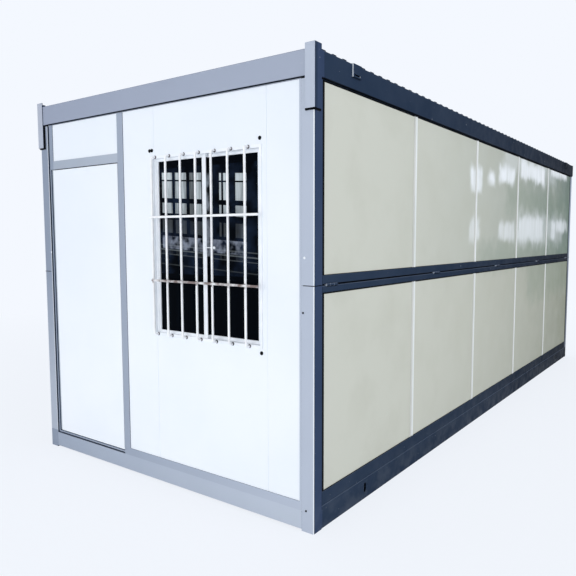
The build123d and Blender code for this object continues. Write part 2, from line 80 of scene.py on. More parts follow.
def add_node(tree: Tree, kind: str, feeds: dict[str, Any] | Sequence[Any] = (),
             **settings: Any) -> Node:
    """Add a shader node, with its settings, socket values and links.

    Args:
        tree: the node tree that takes the node.
        kind: Blender's name for the node's type, without "ShaderNode".
        feeds: what its inputs get, by their names or in the order of the inputs in use. Each is
            a value, a hex colour, an output, or a node, which then gives its first output in use.
        **settings: the node's own properties.

    Returns:
        The new node.
    """
    node = tree.nodes.new("ShaderNode" + kind)
    for name, value in settings.items():
        setattr(node, name, value)
    if isinstance(feeds, dict):
        pairs = [(node.inputs[name], value) for name, value in feeds.items()]
    else:
        pairs = list(zip([socket for socket in node.inputs if socket.enabled], feeds))
    for socket, value in pairs:
        if isinstance(value, Node):
            value = next(output for output in value.outputs if output.enabled)
        if isinstance(value, bpy.types.NodeSocket):
            tree.links.new(value, socket)
        else:
            socket.default_value = hex_to_linear(value) if isinstance(value, str) else value
    return node


# Patterns that a finish is laid from

@dataclass(frozen=True)
class Patches:
    """Soft patches of a real size, and the levels of their noise that become 0 and 1."""

    size_mm: float
    detail: float = 2.0
    low: float = 0.35
    high: float = 0.65

    def add_to(self, tree: Tree, where: Any) -> Node:
        """Add the patches to a material.

        Args:
            tree: the material's node tree.
            where: the coordinates.

        Returns:
            The node that gives them, from 0 to 1.
        """
        noise = add_node(tree, "TexNoise", {"Vector": where, "Scale": per_metre(self.size_mm),
                                            "Detail": self.detail})
        return add_node(tree, "MapRange", (noise, self.low, self.high))


@dataclass(frozen=True)
class Relief:
    """A relief of a real depth: what stands up, how deep it is and how strongly it shows."""

    patches: Patches
    depth_mm: float
    strength: float

    def add_to(self, tree: Tree, where: Any) -> Node:
        """Add the relief to a material.

        Args:
            tree: the material's node tree.
            where: the coordinates.

        Returns:
            The node that gives the shader its normal.
        """
        return add_node(tree, "Bump", {"Height": self.patches.add_to(tree, where),
                                       "Distance": self.depth_mm * MM,
                                       "Strength": self.strength})


@dataclass(frozen=True)
class Patchwork:
    """Patches at known places on a wall, with soft and ragged edges, in metres."""

    # Each place: its limits along the wall, then its limits in height
    places: tuple[Place, ...]
    edge: float
    share: float = 1.0
    ragged_mm: float = 160.0
    ragged: float = 2.6

    def add_to(self, tree: Tree, where: Any) -> Any:
        """Add the patchwork to a material, at full strength.

        Args:
            tree: the material's node tree.
            where: the coordinates.

        Returns:
            The node that gives 1 inside the patches and 0 outside.
        """
        noise = add_node(tree, "TexNoise", {"Vector": where, "Scale": per_metre(self.ragged_mm),
                                            "Detail": 2.0}).outputs["Color"]
        moved = add_node(tree, "VectorMath", (noise, (0.5, 0.5, 0.5)), operation="SUBTRACT")
        small = add_node(tree, "VectorMath", (moved, self.edge * self.ragged), operation="SCALE")
        shifted = add_node(tree, "VectorMath", (where, small), operation="ADD")
        spot = add_node(tree, "SeparateXYZ", (shifted,)).outputs
        total: Any = 0.0
        for start, end, low, high in self.places:
            across = self.softly_inside(tree, spot["Y"], (start, end))
            up = self.softly_inside(tree, spot["Z"], (low, high))
            total = add_node(tree, "Math", (across, up, total), operation="MULTIPLY_ADD")
        return total

    def softly_inside(self, tree: Tree, value: Any, limits: Limits) -> Node:
        """Give 1 between two limits and 0 outside, with a soft step at each.

        Args:
            tree: the material's node tree.
            value: the length that is compared.
            limits: where the patch starts and ends.

        Returns:
            The node that gives the step.
        """
        low, high = limits
        half = (high - low) / 2
        offset = add_node(tree, "Math", (value, (low + high) / 2), operation="SUBTRACT")
        away = add_node(tree, "Math", (offset,), operation="ABSOLUTE")
        return add_node(tree, "MapRange", (away, max(half - self.edge, 0.0), half + self.edge,
                                           1.0, 0.0), interpolation_type="SMOOTHSTEP")


def zone(tree: Tree, *bounds: tuple[Any, Limits]) -> Node:
    """Mark the part of a surface where each of some lengths lies between its own limits.

    Args:
        tree: the material's node tree.
        *bounds: for each length, the output that gives it and its limits, in metres.

    Returns:
        The node that gives 1 inside and 0 outside.
    """
    total = None
    for length, (low, high) in bounds:
        part = add_node(tree, "Math", (length, (low + high) / 2, (high - low) / 2),
                        operation="COMPARE")
        total = part if total is None else add_node(tree, "Math", (total, part),
                                                    operation="MULTIPLY")
    return total


# Finishes: what each surface really is, and how it was made

@dataclass(frozen=True)
class Finish:
    """What every finish shares: its material's name and the record's slot."""

    name: str
    slot: str

    def build(self) -> bpy.types.Material:
        """Make the material.

        Returns:
            The finished material.
        """
        material = bpy.data.materials.new(self.name)
        material.use_nodes = True
        tree = material.node_tree
        tree.nodes.clear()
        shader = add_node(tree, "BsdfPrincipled", self.layers(tree))
        add_node(tree, "OutputMaterial", {"Surface": shader})
        return material

    def layers(self, tree: Tree) -> dict[str, Any]:
        """Lay the surface; each kind of finish has its own layers.

        Args:
            tree: the material's node tree.

        Returns:
            What each socket of the principled shader gets.
        """
        raise NotImplementedError


@dataclass(frozen=True)
class FrameEnamel(Finish):
    """Air-dried enamel sprayed on folded steel: one paint, painted lit blue-grey on the ends and
    shaded deep navy on the sides.
    """

    # Painted light and shade: lit ends from left to right, shaded long sides from front to rear,
    # then lit tops, partly dust, and shaded undersides
    lit_end_tones: tuple[str, str] = ("#909aac", "#b9c1d0")
    shaded_side_tones: tuple[str, str] = ("#2a394f", "#06101d")
    dusty_lit_top_tone: str = "#5d6a80"
    under_shade_tone: str = "#0c0f15"
    half_size: Limits = (1.2, 2.9)
    # Where the ends start, and how far a face has turned once it shows another tone
    end_zone: float = 2.83
    end_turn: Limits = (0.55, 0.85)
    top_turn: Limits = (0.3, 0.9)
    under_turn: Limits = (-0.3, -0.9)
    rear_share: float = 0.0
    # Clouds in the coat, and dust that splashes up from the ground
    clouds: Patches = Patches(420, 4)
    cloud_colour: str = "#7b879c"
    cloud_share: float = 0.05
    dust: Patches = Patches(90, 5, 0.4, 0.62)
    dust_colour: str = "#b9bfc6"
    dust_levels: Limits = (0.2, 0.0)
    dust_share: float = 0.07
    # Scuffs where slings and hands rubbed the paint: thin, sparse and pale
    scuffs: Patches = Patches(30, 6, 0.7, 0.73)
    scuff_share: float = 0.25
    # A painted highlight: a pale line down each bent corner of the posts
    bend_turn: Limits = (0.12, 0.3)
    highlight_colour: str = "#eef3f9"
    highlight_share: float = 1.0
    # A pale tone on the right side of the rear right post, paler towards the roof
    pale_post_tone: str = "#b4bece"
    pale_post_along: Limits = (2.822, 2.9)
    pale_post_across: Limits = (1.1, 1.205)
    pale_post_levels: Limits = (0.13, 2.343)
    pale_post_turn: Limits = (0.5, 0.9)
    pale_post_grows: Limits = (0.9, 1.7)
    pale_post_least: float = 0.45
    pale_post_share: float = 0.8
    # The sides of the front posts catch more light than the beams
    post_side: str = "#50618a"
    post_along: Limits = (-2.889, -2.822)
    post_turn: Limits = (0.1, 0.3)
    post_share: float = 0.25
    # The left front post, paler below the fold, and a painted highlight on the strip beside the
    # jamb's groove
    paler_tone: str = "#dde3ec"
    front_line: float = -2.8
    left_post: Limits = (-1.21, -1.1218)
    paler_levels: Limits = (1.3, 0.5)
    post_levels: Limits = (0.126, 2.343)
    paler_share: float = 0.34
    painted_groove_strip: Limits = (-1.1222, -1.1135)
    groove_highlight_share: float = 0.75
    gloss: Patches = Patches(70, 3)
    roughness: float = 0.42
    gloss_change: float = 0.14
    specular: float = 0.01
    # A real spray texture is near 1 mm; 5 mm is the finest that shows here
    spray: Relief = Relief(Patches(5, 2), 0.25, 0.2)

    def layers(self, tree: Tree) -> dict[str, Any]:
        """Lay the painted light and shade of each side, the wear, what is special on the posts,
        and the spray.

        Args:
            tree: the material's node tree.

        Returns:
            What each socket of the principled shader gets.
        """
        where = add_node(tree, "TexCoord").outputs["Object"]
        spot = add_node(tree, "SeparateXYZ", (where,)).outputs
        normal = add_node(tree, "TexCoord").outputs["Normal"]
        facing = add_node(tree, "SeparateXYZ", (normal,)).outputs
        from_middle = add_node(tree, "Math", (spot["Y"],), operation="ABSOLUTE")
        near_end = zone(tree, (from_middle, (self.end_zone, self.end_zone + 3)))
        turned = add_node(tree, "Math", (facing["Y"],), operation="ABSOLUTE")
        to_end = add_node(tree, "Math", (turned, near_end), operation="MULTIPLY")
        tone = self.lit_and_shaded_tones(tree, spot, facing, to_end)
        tone = self.wear(tree, where, spot, tone)
        tone = self.posts(tree, spot, facing, to_end, tone)
        gloss = add_node(tree, "MapRange", {"Value": self.gloss.add_to(tree, where),
                                            "To Min": self.roughness,
                                            "To Max": self.roughness + self.gloss_change})
        return {"Base Color": tone, "Roughness": gloss, "Specular IOR Level": self.specular,
                "Normal": self.spray.add_to(tree, where)}

    def lit_and_shaded_tones(self, tree: Tree, spot: Any, facing: Any, to_end: Node) -> Node:
        """Lay the painted light and shade: lit ends, shaded sides, lit tops and shaded undersides.

        Args:
            tree: the material's node tree.
            spot: the outputs that give the place.
            facing: the outputs that give the way the surface faces.
            to_end: how far the surface faces the front or the rear.

        Returns:
            The node that gives the tone.
        """
        half_width, half_length = self.half_size
        across = add_node(tree, "MapRange", (spot["X"], -half_width, half_width))
        along = add_node(tree, "MapRange", (spot["Y"], -half_length, half_length))
        ends = add_node(tree, "Mix", (across, *self.lit_end_tones), data_type="RGBA")
        sides = add_node(tree, "Mix", (along, *self.shaded_side_tones), data_type="RGBA")
        rear = add_node(tree, "MapRange", {"Value": along, "To Max": self.rear_share})
        ends = add_node(tree, "Mix", (rear, ends, sides), data_type="RGBA")
        is_end = add_node(tree, "MapRange", (to_end, *self.end_turn))
        tone = add_node(tree, "Mix", (is_end, sides, ends), data_type="RGBA")
        for turn, colour in ((self.top_turn, self.dusty_lit_top_tone),
                             (self.under_turn, self.under_shade_tone)):
            share = add_node(tree, "MapRange", (facing["Z"], *turn))
            tone = add_node(tree, "Mix", (share, tone, colour), data_type="RGBA")
        return tone

    def wear(self, tree: Tree, where: Any, spot: Any, tone: Node) -> Node:
        """Lay the clouds, the dust near the ground and the scuffs over a tone.

        Args:
            tree: the material's node tree.
            where: the coordinates.
            spot: the outputs that give the place.
            tone: the tone so far.

        Returns:
            The node that gives the worn tone.
        """
        cloud = add_node(tree, "MapRange", {"Value": self.clouds.add_to(tree, where),
                                            "To Max": self.cloud_share})
        tone = add_node(tree, "Mix", (cloud, tone, self.cloud_colour), data_type="RGBA")
        low = add_node(tree, "MapRange", (spot["Z"], *self.dust_levels))
        near_ground = add_node(tree, "MapRange", {"Value": low, "To Max": self.dust_share})
        dust = add_node(tree, "Math", (near_ground, self.dust.add_to(tree, where)),
                        operation="MULTIPLY")
        tone = add_node(tree, "Mix", (dust, tone, self.dust_colour), data_type="RGBA")
        scuff = add_node(tree, "MapRange", {"Value": self.scuffs.add_to(tree, where),
                                            "To Max": self.scuff_share})
        return add_node(tree, "Mix", (scuff, tone, self.dust_colour), data_type="RGBA")

    def posts(self, tree: Tree, spot: Any, facing: Any, to_end: Node, tone: Node) -> Node:
        """Lay what is special on the posts: a pale tone, a lighter side as painted light, painted
        highlights on bends, and a paler part.

        Args:
            tree: the material's node tree.
            spot: the outputs that give the place.
            facing: the outputs that give the way the surface faces.
            to_end: how far the surface faces the front or the rear.
            tone: the tone so far.

        Returns:
            The node that gives the tone.
        """
        tone = add_node(tree, "Mix", (self.pale_on_rear_post(tree, spot, facing), tone,
                                      self.pale_post_tone), data_type="RGBA")
        turned = add_node(tree, "MapRange", (to_end, *self.post_turn))
        beside = add_node(tree, "Math", (1.0, turned), operation="SUBTRACT")
        on_post = add_node(tree, "Math", (zone(tree, (spot["Y"], self.post_along)), beside),
                           operation="MULTIPLY")
        share = add_node(tree, "MapRange", {"Value": on_post, "To Max": self.post_share})
        tone = add_node(tree, "Mix", (share, tone, self.post_side), data_type="RGBA")
        to_side = add_node(tree, "Math", (facing["X"],), operation="ABSOLUTE")
        corner = add_node(tree, "Math", (to_side, to_end), operation="MULTIPLY")
        bend = add_node(tree, "MapRange", (corner, *self.bend_turn))
        share = add_node(tree, "MapRange", {"Value": bend, "To Max": self.highlight_share})
        tone = add_node(tree, "Mix", (share, tone, self.highlight_colour), data_type="RGBA")
        return add_node(tree, "Mix", (self.paler_left_post(tree, spot, to_end), tone,
                                      self.paler_tone), data_type="RGBA")

    def paler_left_post(self, tree: Tree, spot: Any, to_end: Node) -> Node:
        """Tell where the left of the front is paler: low on its post, and as a painted highlight
        beside the groove.

        Args:
            tree: the material's node tree.
            spot: the outputs that give the place.
            to_end: how far the surface faces the front or the rear.

        Returns:
            The node that gives the paler tone's share.
        """
        ahead = add_node(tree, "Math", (spot["Y"], self.front_line), operation="LESS_THAN")
        front = add_node(tree, "Math", (ahead, to_end), operation="MULTIPLY")
        lower = add_node(tree, "MapRange", (spot["Z"], *self.paler_levels))
        low = add_node(tree, "MapRange", {"Value": lower, "To Max": self.paler_share})
        post = add_node(tree, "Math", (zone(tree, (spot["X"], self.left_post)), low),
                        operation="MULTIPLY")
        strip = add_node(tree, "Math", (zone(tree, (spot["X"], self.painted_groove_strip)),
                                        self.groove_highlight_share), operation="MULTIPLY")
        front = add_node(tree, "Math", (front, zone(tree, (spot["Z"], self.post_levels))),
                         operation="MULTIPLY")
        either = add_node(tree, "Math", (post, strip), operation="MAXIMUM")
        return add_node(tree, "Math", (either, front), operation="MULTIPLY")

    def pale_on_rear_post(self, tree: Tree, spot: Any, facing: Any) -> Node:
        """Tell where the right side of the rear right post has its pale tone.

        Args:
            tree: the material's node tree.
            spot: the outputs that give the place.
            facing: the outputs that give the way the surface faces.

        Returns:
            The node that gives the pale tone's share.
        """
        on_post = zone(tree, (spot["Y"], self.pale_post_along), (spot["X"], self.pale_post_across))
        turned = add_node(tree, "MapRange", (facing["X"], *self.pale_post_turn))
        shown = add_node(tree, "Math", (on_post, turned), operation="MULTIPLY")
        height = add_node(tree, "MapRange", (spot["Z"], *self.pale_post_grows))
        grown = add_node(tree, "MapRange", {"Value": height, "To Min": self.pale_post_least})
        brightening = add_node(tree, "Math", (shown, grown), operation="MULTIPLY")
        brightening = add_node(tree, "Math", (brightening, zone(tree, (spot["Z"], self.pale_post_levels))),
                        operation="MULTIPLY")
        return add_node(tree, "MapRange", {"Value": brightening, "To Max": self.pale_post_share})


@dataclass(frozen=True)
class CoatedSheet(Finish):
    """Polyester coil coating on thin steel sheet: smooth, even and slightly wavy."""

    colour: str = "#f5f9ff"
    shade: str = "#f1f6fd"
    roughness: float = 0.3
    specular: float = 0.4
    patch_mm: float = 600.0
    gloss: Patches = Patches(160, 2)
    gloss_change: float = 0.1
    wave: Relief = Relief(Patches(260, 1), 1.2, 0.08)

    def layers(self, tree: Tree) -> dict[str, Any]:
        """Lay an even coat with soft patches, a change of gloss and a long wave in the sheet.

        Args:
            tree: the material's node tree.

        Returns:
            What each socket of the principled shader gets.
        """
        where = add_node(tree, "TexCoord").outputs["Object"]
        patch = Patches(self.patch_mm, 3).add_to(tree, where)
        tone = add_node(tree, "Mix", (patch, self.colour, self.shade), data_type="RGBA")
        gloss = add_node(tree, "MapRange", {"Value": self.gloss.add_to(tree, where),
                                            "To Min": self.roughness,
                                            "To Max": self.roughness + self.gloss_change})
        return {"Base Color": tone, "Roughness": gloss, "Specular IOR Level": self.specular,
                "Normal": self.wave.add_to(tree, where)}


@dataclass(frozen=True)
class WallSheet(CoatedSheet):
    """The coated sheet of the end walls, a little greyer towards the roof as painted shade."""

    top_shade: str = "#d9e1ec"
    top_shade_share: float = 0.28
    # Where the grey starts, and the wall's top
    top_shade_levels: Limits = (0.7, 2.335)

    def layers(self, tree: Tree) -> dict[str, Any]:
        """Lay the coat, then the painted shade that grows towards the roof.

        Args:
            tree: the material's node tree.

        Returns:
            What each socket of the principled shader gets.
        """
        feeds = super().layers(tree)
        where = add_node(tree, "TexCoord").outputs["Object"]
        height = add_node(tree, "SeparateXYZ", (where,)).outputs["Z"]
        high = add_node(tree, "MapRange", (height, *self.top_shade_levels))
        grey = add_node(tree, "MapRange", {"Value": high, "To Max": self.top_shade_share})
        feeds["Base Color"] = add_node(tree, "Mix", (grey, feeds["Base Color"], self.top_shade),
                                       data_type="RGBA")
        return feeds


@dataclass(frozen=True)
class SashSection(CoatedSheet):
    """White window section; the rear sash's stile is painted dark as shade, with painted
    reflections like the pane.
    """

    dark: str = "#04070d"
    reflection_tone: str = "#b6bec9"
    # The rear stile: its limits across, in depth and in height, and those of its painted
    # reflection
    stile: Limits = (0.4362, 0.476)
    stile_depth: Limits = (-2.886, -2.862)
    stile_levels: Limits = (0.981, 2.004)
    reflection_levels: Limits = (1.44, 1.95)
    reflection_patches: Patches = Patches(90, 3, 0.42, 0.58)

    def layers(self, tree: Tree) -> dict[str, Any]:
        """Lay the white coat, then the painted shade and painted reflection of the rear stile.

        Args:
            tree: the material's node tree.

        Returns:
            What each socket of the principled shader gets.
        """
        feeds = super().layers(tree)
        where = add_node(tree, "TexCoord").outputs["Object"]
        spot = add_node(tree, "SeparateXYZ", (where,)).outputs
        on_stile = zone(tree, (spot["X"], self.stile), (spot["Y"], self.stile_depth),
                        (spot["Z"], self.stile_levels))
        pale = add_node(tree, "Math", (self.reflection_patches.add_to(tree, where),
                                       zone(tree, (spot["Z"], self.reflection_levels))),
                        operation="MULTIPLY")
        shown = add_node(tree, "Mix", (pale, self.dark, self.reflection_tone), data_type="RGBA")
        feeds["Base Color"] = add_node(tree, "Mix", (on_stile, feeds["Base Color"], shown),
                                       data_type="RGBA")
        return feeds


@dataclass(frozen=True)
class FilmedSheet(Finish):
    """Ivory coil coating under clear factory film: glossy patches with painted reflections, and
    painted shade greener behind.
    """

    near_colour: str = "#d6d7cc"
    # The far tones are painted shade, darkest above the fold
    far_upper_shade: str = "#5d7167"
    far_lower_shade: str = "#8e917f"
    half_length: float = 2.9
    fold_level: float = 1.303
    # How the painted shade of the far tones grows along the wall
    shade_growth: float = 1.5
    stain: str = "#bcbdae"
    stains: Patches = Patches(320, 5, 0.45, 0.7)
    stain_share: float = 0.22
    green: str = "#6f8570"
    green_patches: Patchwork = Patchwork(
        ((0.2, 2.9, 1.80, 2.06), (-0.5, 2.9, 1.30, 1.48), (1.0, 2.9, 0.9, 1.3)), 0.12, 0.3)
    # The film's glossy patches and its thinner ones, both with painted reflections, and a soft
    # painted reflection round them
    painted_reflection: str = "#f4f9fd"
    bright_reflections: Patchwork = Patchwork(
        ((-0.72, -0.455, 1.94, 2.12), (-0.30, -0.13, 2.02, 2.11), (-0.02, 0.45, 2.06, 2.20),
         (0.66, 1.57, 2.15, 2.31), (1.83, 2.64, 2.28, 2.36)), 0.045)
    faint_reflections: Patchwork = Patchwork(
        ((-0.71, -0.49, 1.54, 1.71), (0.02, 0.48, 1.53, 1.69), (0.61, 1.56, 1.53, 1.76),
         (1.93, 2.12, 1.52, 1.74), (2.16, 2.74, 1.63, 1.76)), 0.045, 0.62)
    reflection_haze: Patchwork = Patchwork(((0.1, 2.1, 2.16, 2.40), (0.55, 2.5, 1.50, 1.80)), 0.1, 0.3)
    # Upright streaks in the painted reflections: their width, how far they are drawn out, and
    # their least share
    streaks: Patches = Patches(60, 2, 0.36, 0.6)
    streak_squeeze: float = 0.08
    streak_least: float = 0.55
    gloss: Patches = Patches(200, 4)
    roughness: float = 0.38
    gloss_change: float = 0.12
    coat_roughness: float = 0.08
    specular: float = 0.1
    wave: Relief = Relief(Patches(320, 2), 2.0, 0.15)

    def layers(self, tree: Tree) -> dict[str, Any]:
        """Lay the coat, its faint blotches, and the film's glossy streaked patches with their
        painted reflections.

        Args:
            tree: the material's node tree.

        Returns:
            What each socket of the principled shader gets.
        """
        where = add_node(tree, "TexCoord").outputs["Object"]
        tone = self.coat(tree, where)
        thin = add_node(tree, "Mapping", {"Vector": where,
                                          "Scale": (1.0, 1.0, self.streak_squeeze)})
        streaks = add_node(tree, "MapRange", {"Value": self.streaks.add_to(tree, thin),
                                              "To Min": self.streak_least})
        bright = self.bright_reflections.add_to(tree, where)
        brightening = add_node(tree, "Math", (self.faint_reflections.add_to(tree, where), self.faint_reflections.share,
                                       bright), operation="MULTIPLY_ADD")
        brightening = add_node(tree, "Math", (streaks, brightening), operation="MULTIPLY")
        reflection_haze = add_node(tree, "MapRange", {"Value": self.reflection_haze.add_to(tree, where),
                                           "To Max": self.reflection_haze.share})
        tone = add_node(tree, "Mix", (reflection_haze, tone, self.painted_reflection), data_type="RGBA")
        tone = add_node(tree, "Mix", (brightening, tone, self.painted_reflection), data_type="RGBA")
        gloss = add_node(tree, "MapRange", {"Value": self.gloss.add_to(tree, where),
                                            "To Min": self.roughness,
                                            "To Max": self.roughness + self.gloss_change})
        return {"Base Color": tone, "Roughness": gloss, "Coat Weight": brightening,
                "Coat Roughness": self.coat_roughness, "Specular IOR Level": self.specular,
                "Normal": self.wave.add_to(tree, where)}

    def coat(self, tree: Tree, where: Any) -> Node:
        """Lay the ivory coat, darker and greener towards the rear as painted shade, with its
        blotches.

        Args:
            tree: the material's node tree.
            where: the coordinates.

        Returns:
            The node that gives the coat's tone.
        """
        spot = add_node(tree, "SeparateXYZ", (where,)).outputs
        along = add_node(tree, "MapRange", (spot["Y"], -self.half_length, self.half_length))
        shaded = add_node(tree, "Math", (along, self.shade_growth), operation="POWER")
        upper = zone(tree, (spot["Z"], (self.fold_level, self.fold_level + 2)))
        far = add_node(tree, "Mix", (upper, self.far_lower_shade, self.far_upper_shade), data_type="RGBA")
        tone = add_node(tree, "Mix", (shaded, self.near_colour, far), data_type="RGBA")
        stained = add_node(tree, "MapRange", {"Value": self.stains.add_to(tree, where),
                                              "To Max": self.stain_share})
        tone = add_node(tree, "Mix", (stained, tone, self.stain), data_type="RGBA")
        greened = add_node(tree, "MapRange", {"Value": self.green_patches.add_to(tree, where),
                                              "To Max": self.green_patches.share})
        return add_node(tree, "Mix", (greened, tone, self.green), data_type="RGBA")


@dataclass(frozen=True)
class FloatGlass(Finish):
    """Float glass in front of an unlit room: near black as painted shade, with pale blocks as
    painted reflections.
    """

    colour: str = "#04070d"
    reflection_tone: str = "#ccd5d9"
    # The blocks of painted reflection: their limits across, and for each row its limits in height
    # and its share
    columns: tuple[Limits, ...] = (
        (0.063, 0.152), (0.177, 0.272), (0.358, 0.397), (0.445, 0.464), (0.517, 0.533),
        (0.548, 0.592), (0.640, 0.722))
    faint_column: Limits = (0.300, 0.336)
    faint_share: float = 0.35
    rows: tuple[tuple[float, float, float], ...] = (
        (1.792, 1.892, 0.85), (1.901, 1.943, 1.0), (1.702, 1.764, 0.75), (1.585, 1.664, 0.1),
        (1.455, 1.53, 0.03))
    # How the rows rise across the pane
    slope: float = 0.06
    # Upright streaks in the blocks: their width, how far they are drawn out, their least share
    streaks: Patches = Patches(25, 3)
    streak_squeeze: float = 0.1
    streak_least: float = 0.45
    # Faint level streaks of painted reflection that run the pane's whole width: limits in height
    # and share
    level_streaks: tuple[tuple[float, float, float], ...] = (
        (1.505, 1.512, 0.1), (1.478, 1.486, 0.14), (1.452, 1.458, 0.08), (1.39, 1.397, 0.05))
    # A dim blue cloud of painted reflection behind the blocks, and the heights it lies between
    reflection_haze: str = "#202d43"
    reflection_hazes: Patches = Patches(130, 4, 0.42, 0.66)
    reflection_haze_levels: Limits = (1.33, 1.96)
    reflection_haze_share: float = 0.55
    # A mottled row of painted reflection low in the pane: its limits in height and across
    mottled: str = "#858c9b"
    mottles: Patches = Patches(48, 2, 0.36, 0.68)
    mottled_levels: Limits = (1.490, 1.566)
    mottled_width: Limits = (0.06, 0.722)
    roughness: float = 0.04
    # Kept low, because the blocks and streaks are painted reflections of what the pane mirrors
    specular: float = 0.01

    def layers(self, tree: Tree) -> dict[str, Any]:
        """Lay the pane's painted shade, and its cloud, mottled row and pale blocks as painted
        reflections.

        Args:
            tree: the material's node tree.

        Returns:
            What each socket of the principled shader gets.
        """
        where = add_node(tree, "TexCoord").outputs["Object"]
        spot = add_node(tree, "SeparateXYZ", (where,)).outputs
        level = add_node(tree, "Math", (spot["X"], self.slope, spot["Z"]),
                         operation="MULTIPLY_ADD")
        dim = add_node(tree, "Math", (self.reflection_hazes.add_to(tree, where),
                                      zone(tree, (spot["Z"], self.reflection_haze_levels))),
                       operation="MULTIPLY")
        dim = add_node(tree, "MapRange", {"Value": dim, "To Max": self.reflection_haze_share})
        dark = add_node(tree, "Mix", (dim, self.colour, self.reflection_haze), data_type="RGBA")
        mottle = add_node(tree, "Math", (self.mottles.add_to(tree, where),
                                         zone(tree, (level, self.mottled_levels))),
                          operation="MULTIPLY")
        mottle = add_node(tree, "Math", (mottle, zone(tree, (spot["X"], self.mottled_width))),
                          operation="MULTIPLY")
        dark = add_node(tree, "Mix", (mottle, dark, self.mottled), data_type="RGBA")
        blocks = self.blocks(tree, where, spot, level)
        tone = add_node(tree, "Mix", (blocks, dark, self.reflection_tone), data_type="RGBA")
        return {"Base Color": tone, "Roughness": self.roughness,
                "Specular IOR Level": self.specular}

    def blocks(self, tree: Tree, where: Any, spot: Any, level: Node) -> Node:
        """Lay the blocks of painted reflection, streaked, and the level streaks over them.

        Args:
            tree: the material's node tree.
            where: the coordinates.
            spot: the outputs that give the place.
            level: the height, counted along the sloping rows.

        Returns:
            The node that gives the blocks' share.
        """
        across = add_node(tree, "Math", (zone(tree, (spot["X"], self.faint_column)),
                                         self.faint_share), operation="MULTIPLY")
        for column in self.columns:
            across = add_node(tree, "Math", (across, zone(tree, (spot["X"], column))),
                              operation="ADD")
        up: Any = 0.0
        for low, high, share in self.rows:
            up = add_node(tree, "Math", (zone(tree, (level, (low, high))), share, up),
                          operation="MULTIPLY_ADD")
        thin = add_node(tree, "Mapping", {"Vector": where,
                                          "Scale": (1.0, 1.0, self.streak_squeeze)})
        streaks = add_node(tree, "MapRange", {"Value": self.streaks.add_to(tree, thin),
                                              "To Min": self.streak_least})
        blocks = add_node(tree, "Math", (across, up), operation="MULTIPLY")
        blocks = add_node(tree, "Math", (blocks, streaks), operation="MULTIPLY")
        for low, high, share in self.level_streaks:
            blocks = add_node(tree, "Math", (zone(tree, (level, (low, high))), share, blocks),
                              operation="MULTIPLY_ADD")
        return blocks


@dataclass(frozen=True)
class SteelBar(Finish):
    """Bright drawn steel: long fine draw lines, dull patches and a little dirt."""

    colour: str = "#fcfdff"
    dirt: str = "#b4b6b9"
    dirt_share: float = 0.14
    # Kept low on the bars, because the real ones read almost white
    metallic: float = 0.1
    roughness: float = 0.32
    dull_roughness: float = 0.6
    dulls: Patches = Patches(40, 5, 0.45, 0.62)
    # One cross rod was never wiped after welding, so it has gone brown: its depth and height
    rust: str = "#80706d"
    rusts: Patches = Patches(60, 5, 0.38, 0.56)
    rust_least: float = 0.2
    rusty_depth: Limits = (-2.955, -2.938)
    rusty_levels: Limits = (1.27, 1.30)
    # Draw lines are finer than a pixel; 3 mm is the finest that shows here
    draw_lines: Relief = Relief(Patches(3, 2), 0.1, 0.2)

    def layers(self, tree: Tree) -> dict[str, Any]:
        """Lay the metal, its dull patches, the brown of one rod and the draw lines.

        Args:
            tree: the material's node tree.

        Returns:
            What each socket of the principled shader gets.
        """
        where = add_node(tree, "TexCoord").outputs["Object"]
        dull = add_node(tree, "MapRange", {"Value": self.dulls.add_to(tree, where),
                                           "To Max": self.dirt_share})
        tone = add_node(tree, "Mix", (dull, self.colour, self.dirt), data_type="RGBA")
        spot = add_node(tree, "SeparateXYZ", (where,)).outputs
        on_rod = zone(tree, (spot["Y"], self.rusty_depth), (spot["Z"], self.rusty_levels))
        brown = add_node(tree, "MapRange", {"Value": self.rusts.add_to(tree, where),
                                            "To Min": self.rust_least})
        rusty = add_node(tree, "Math", (on_rod, brown), operation="MULTIPLY")
        tone = add_node(tree, "Mix", (rusty, tone, self.rust), data_type="RGBA")
        gloss = add_node(tree, "MapRange", {"Value": dull, "To Min": self.roughness,
                                            "To Max": self.dull_roughness})
        return {"Base Color": tone, "Metallic": self.metallic, "Roughness": gloss,
                "Normal": self.draw_lines.add_to(tree, where)}


@dataclass(frozen=True)
class PlainCoat(Finish):
    """An even coat of one colour, such as blackened steel, rubber or a lining board."""

    colour: str = "#16181b"
    shade: str = "#2a2d31"
    roughness: float = 0.5
    patch_mm: float = 60.0
    grain_mm: float = 4.0
    specular: float = 0.4
    gloss_change: float = 0.12
    grain_depth_mm: float = 0.2
    grain_strength: float = 0.25

    def layers(self, tree: Tree) -> dict[str, Any]:
        """Lay the coat with soft patches and a fine grain.

        Args:
            tree: the material's node tree.

        Returns:
            What each socket of the principled shader gets.
        """
        where = add_node(tree, "TexCoord").outputs["Object"]
        patch = Patches(self.patch_mm, 3).add_to(tree, where)
        tone = add_node(tree, "Mix", (patch, self.colour, self.shade), data_type="RGBA")
        smaller = Patches(self.patch_mm / 2, 2).add_to(tree, where)
        gloss = add_node(tree, "MapRange", {"Value": smaller, "To Min": self.roughness,
                                            "To Max": self.roughness + self.gloss_change})
        grain = Relief(Patches(self.grain_mm, 2), self.grain_depth_mm, self.grain_strength)
        return {"Base Color": tone, "Roughness": gloss, "Specular IOR Level": self.specular,
                "Normal": grain.add_to(tree, where)}


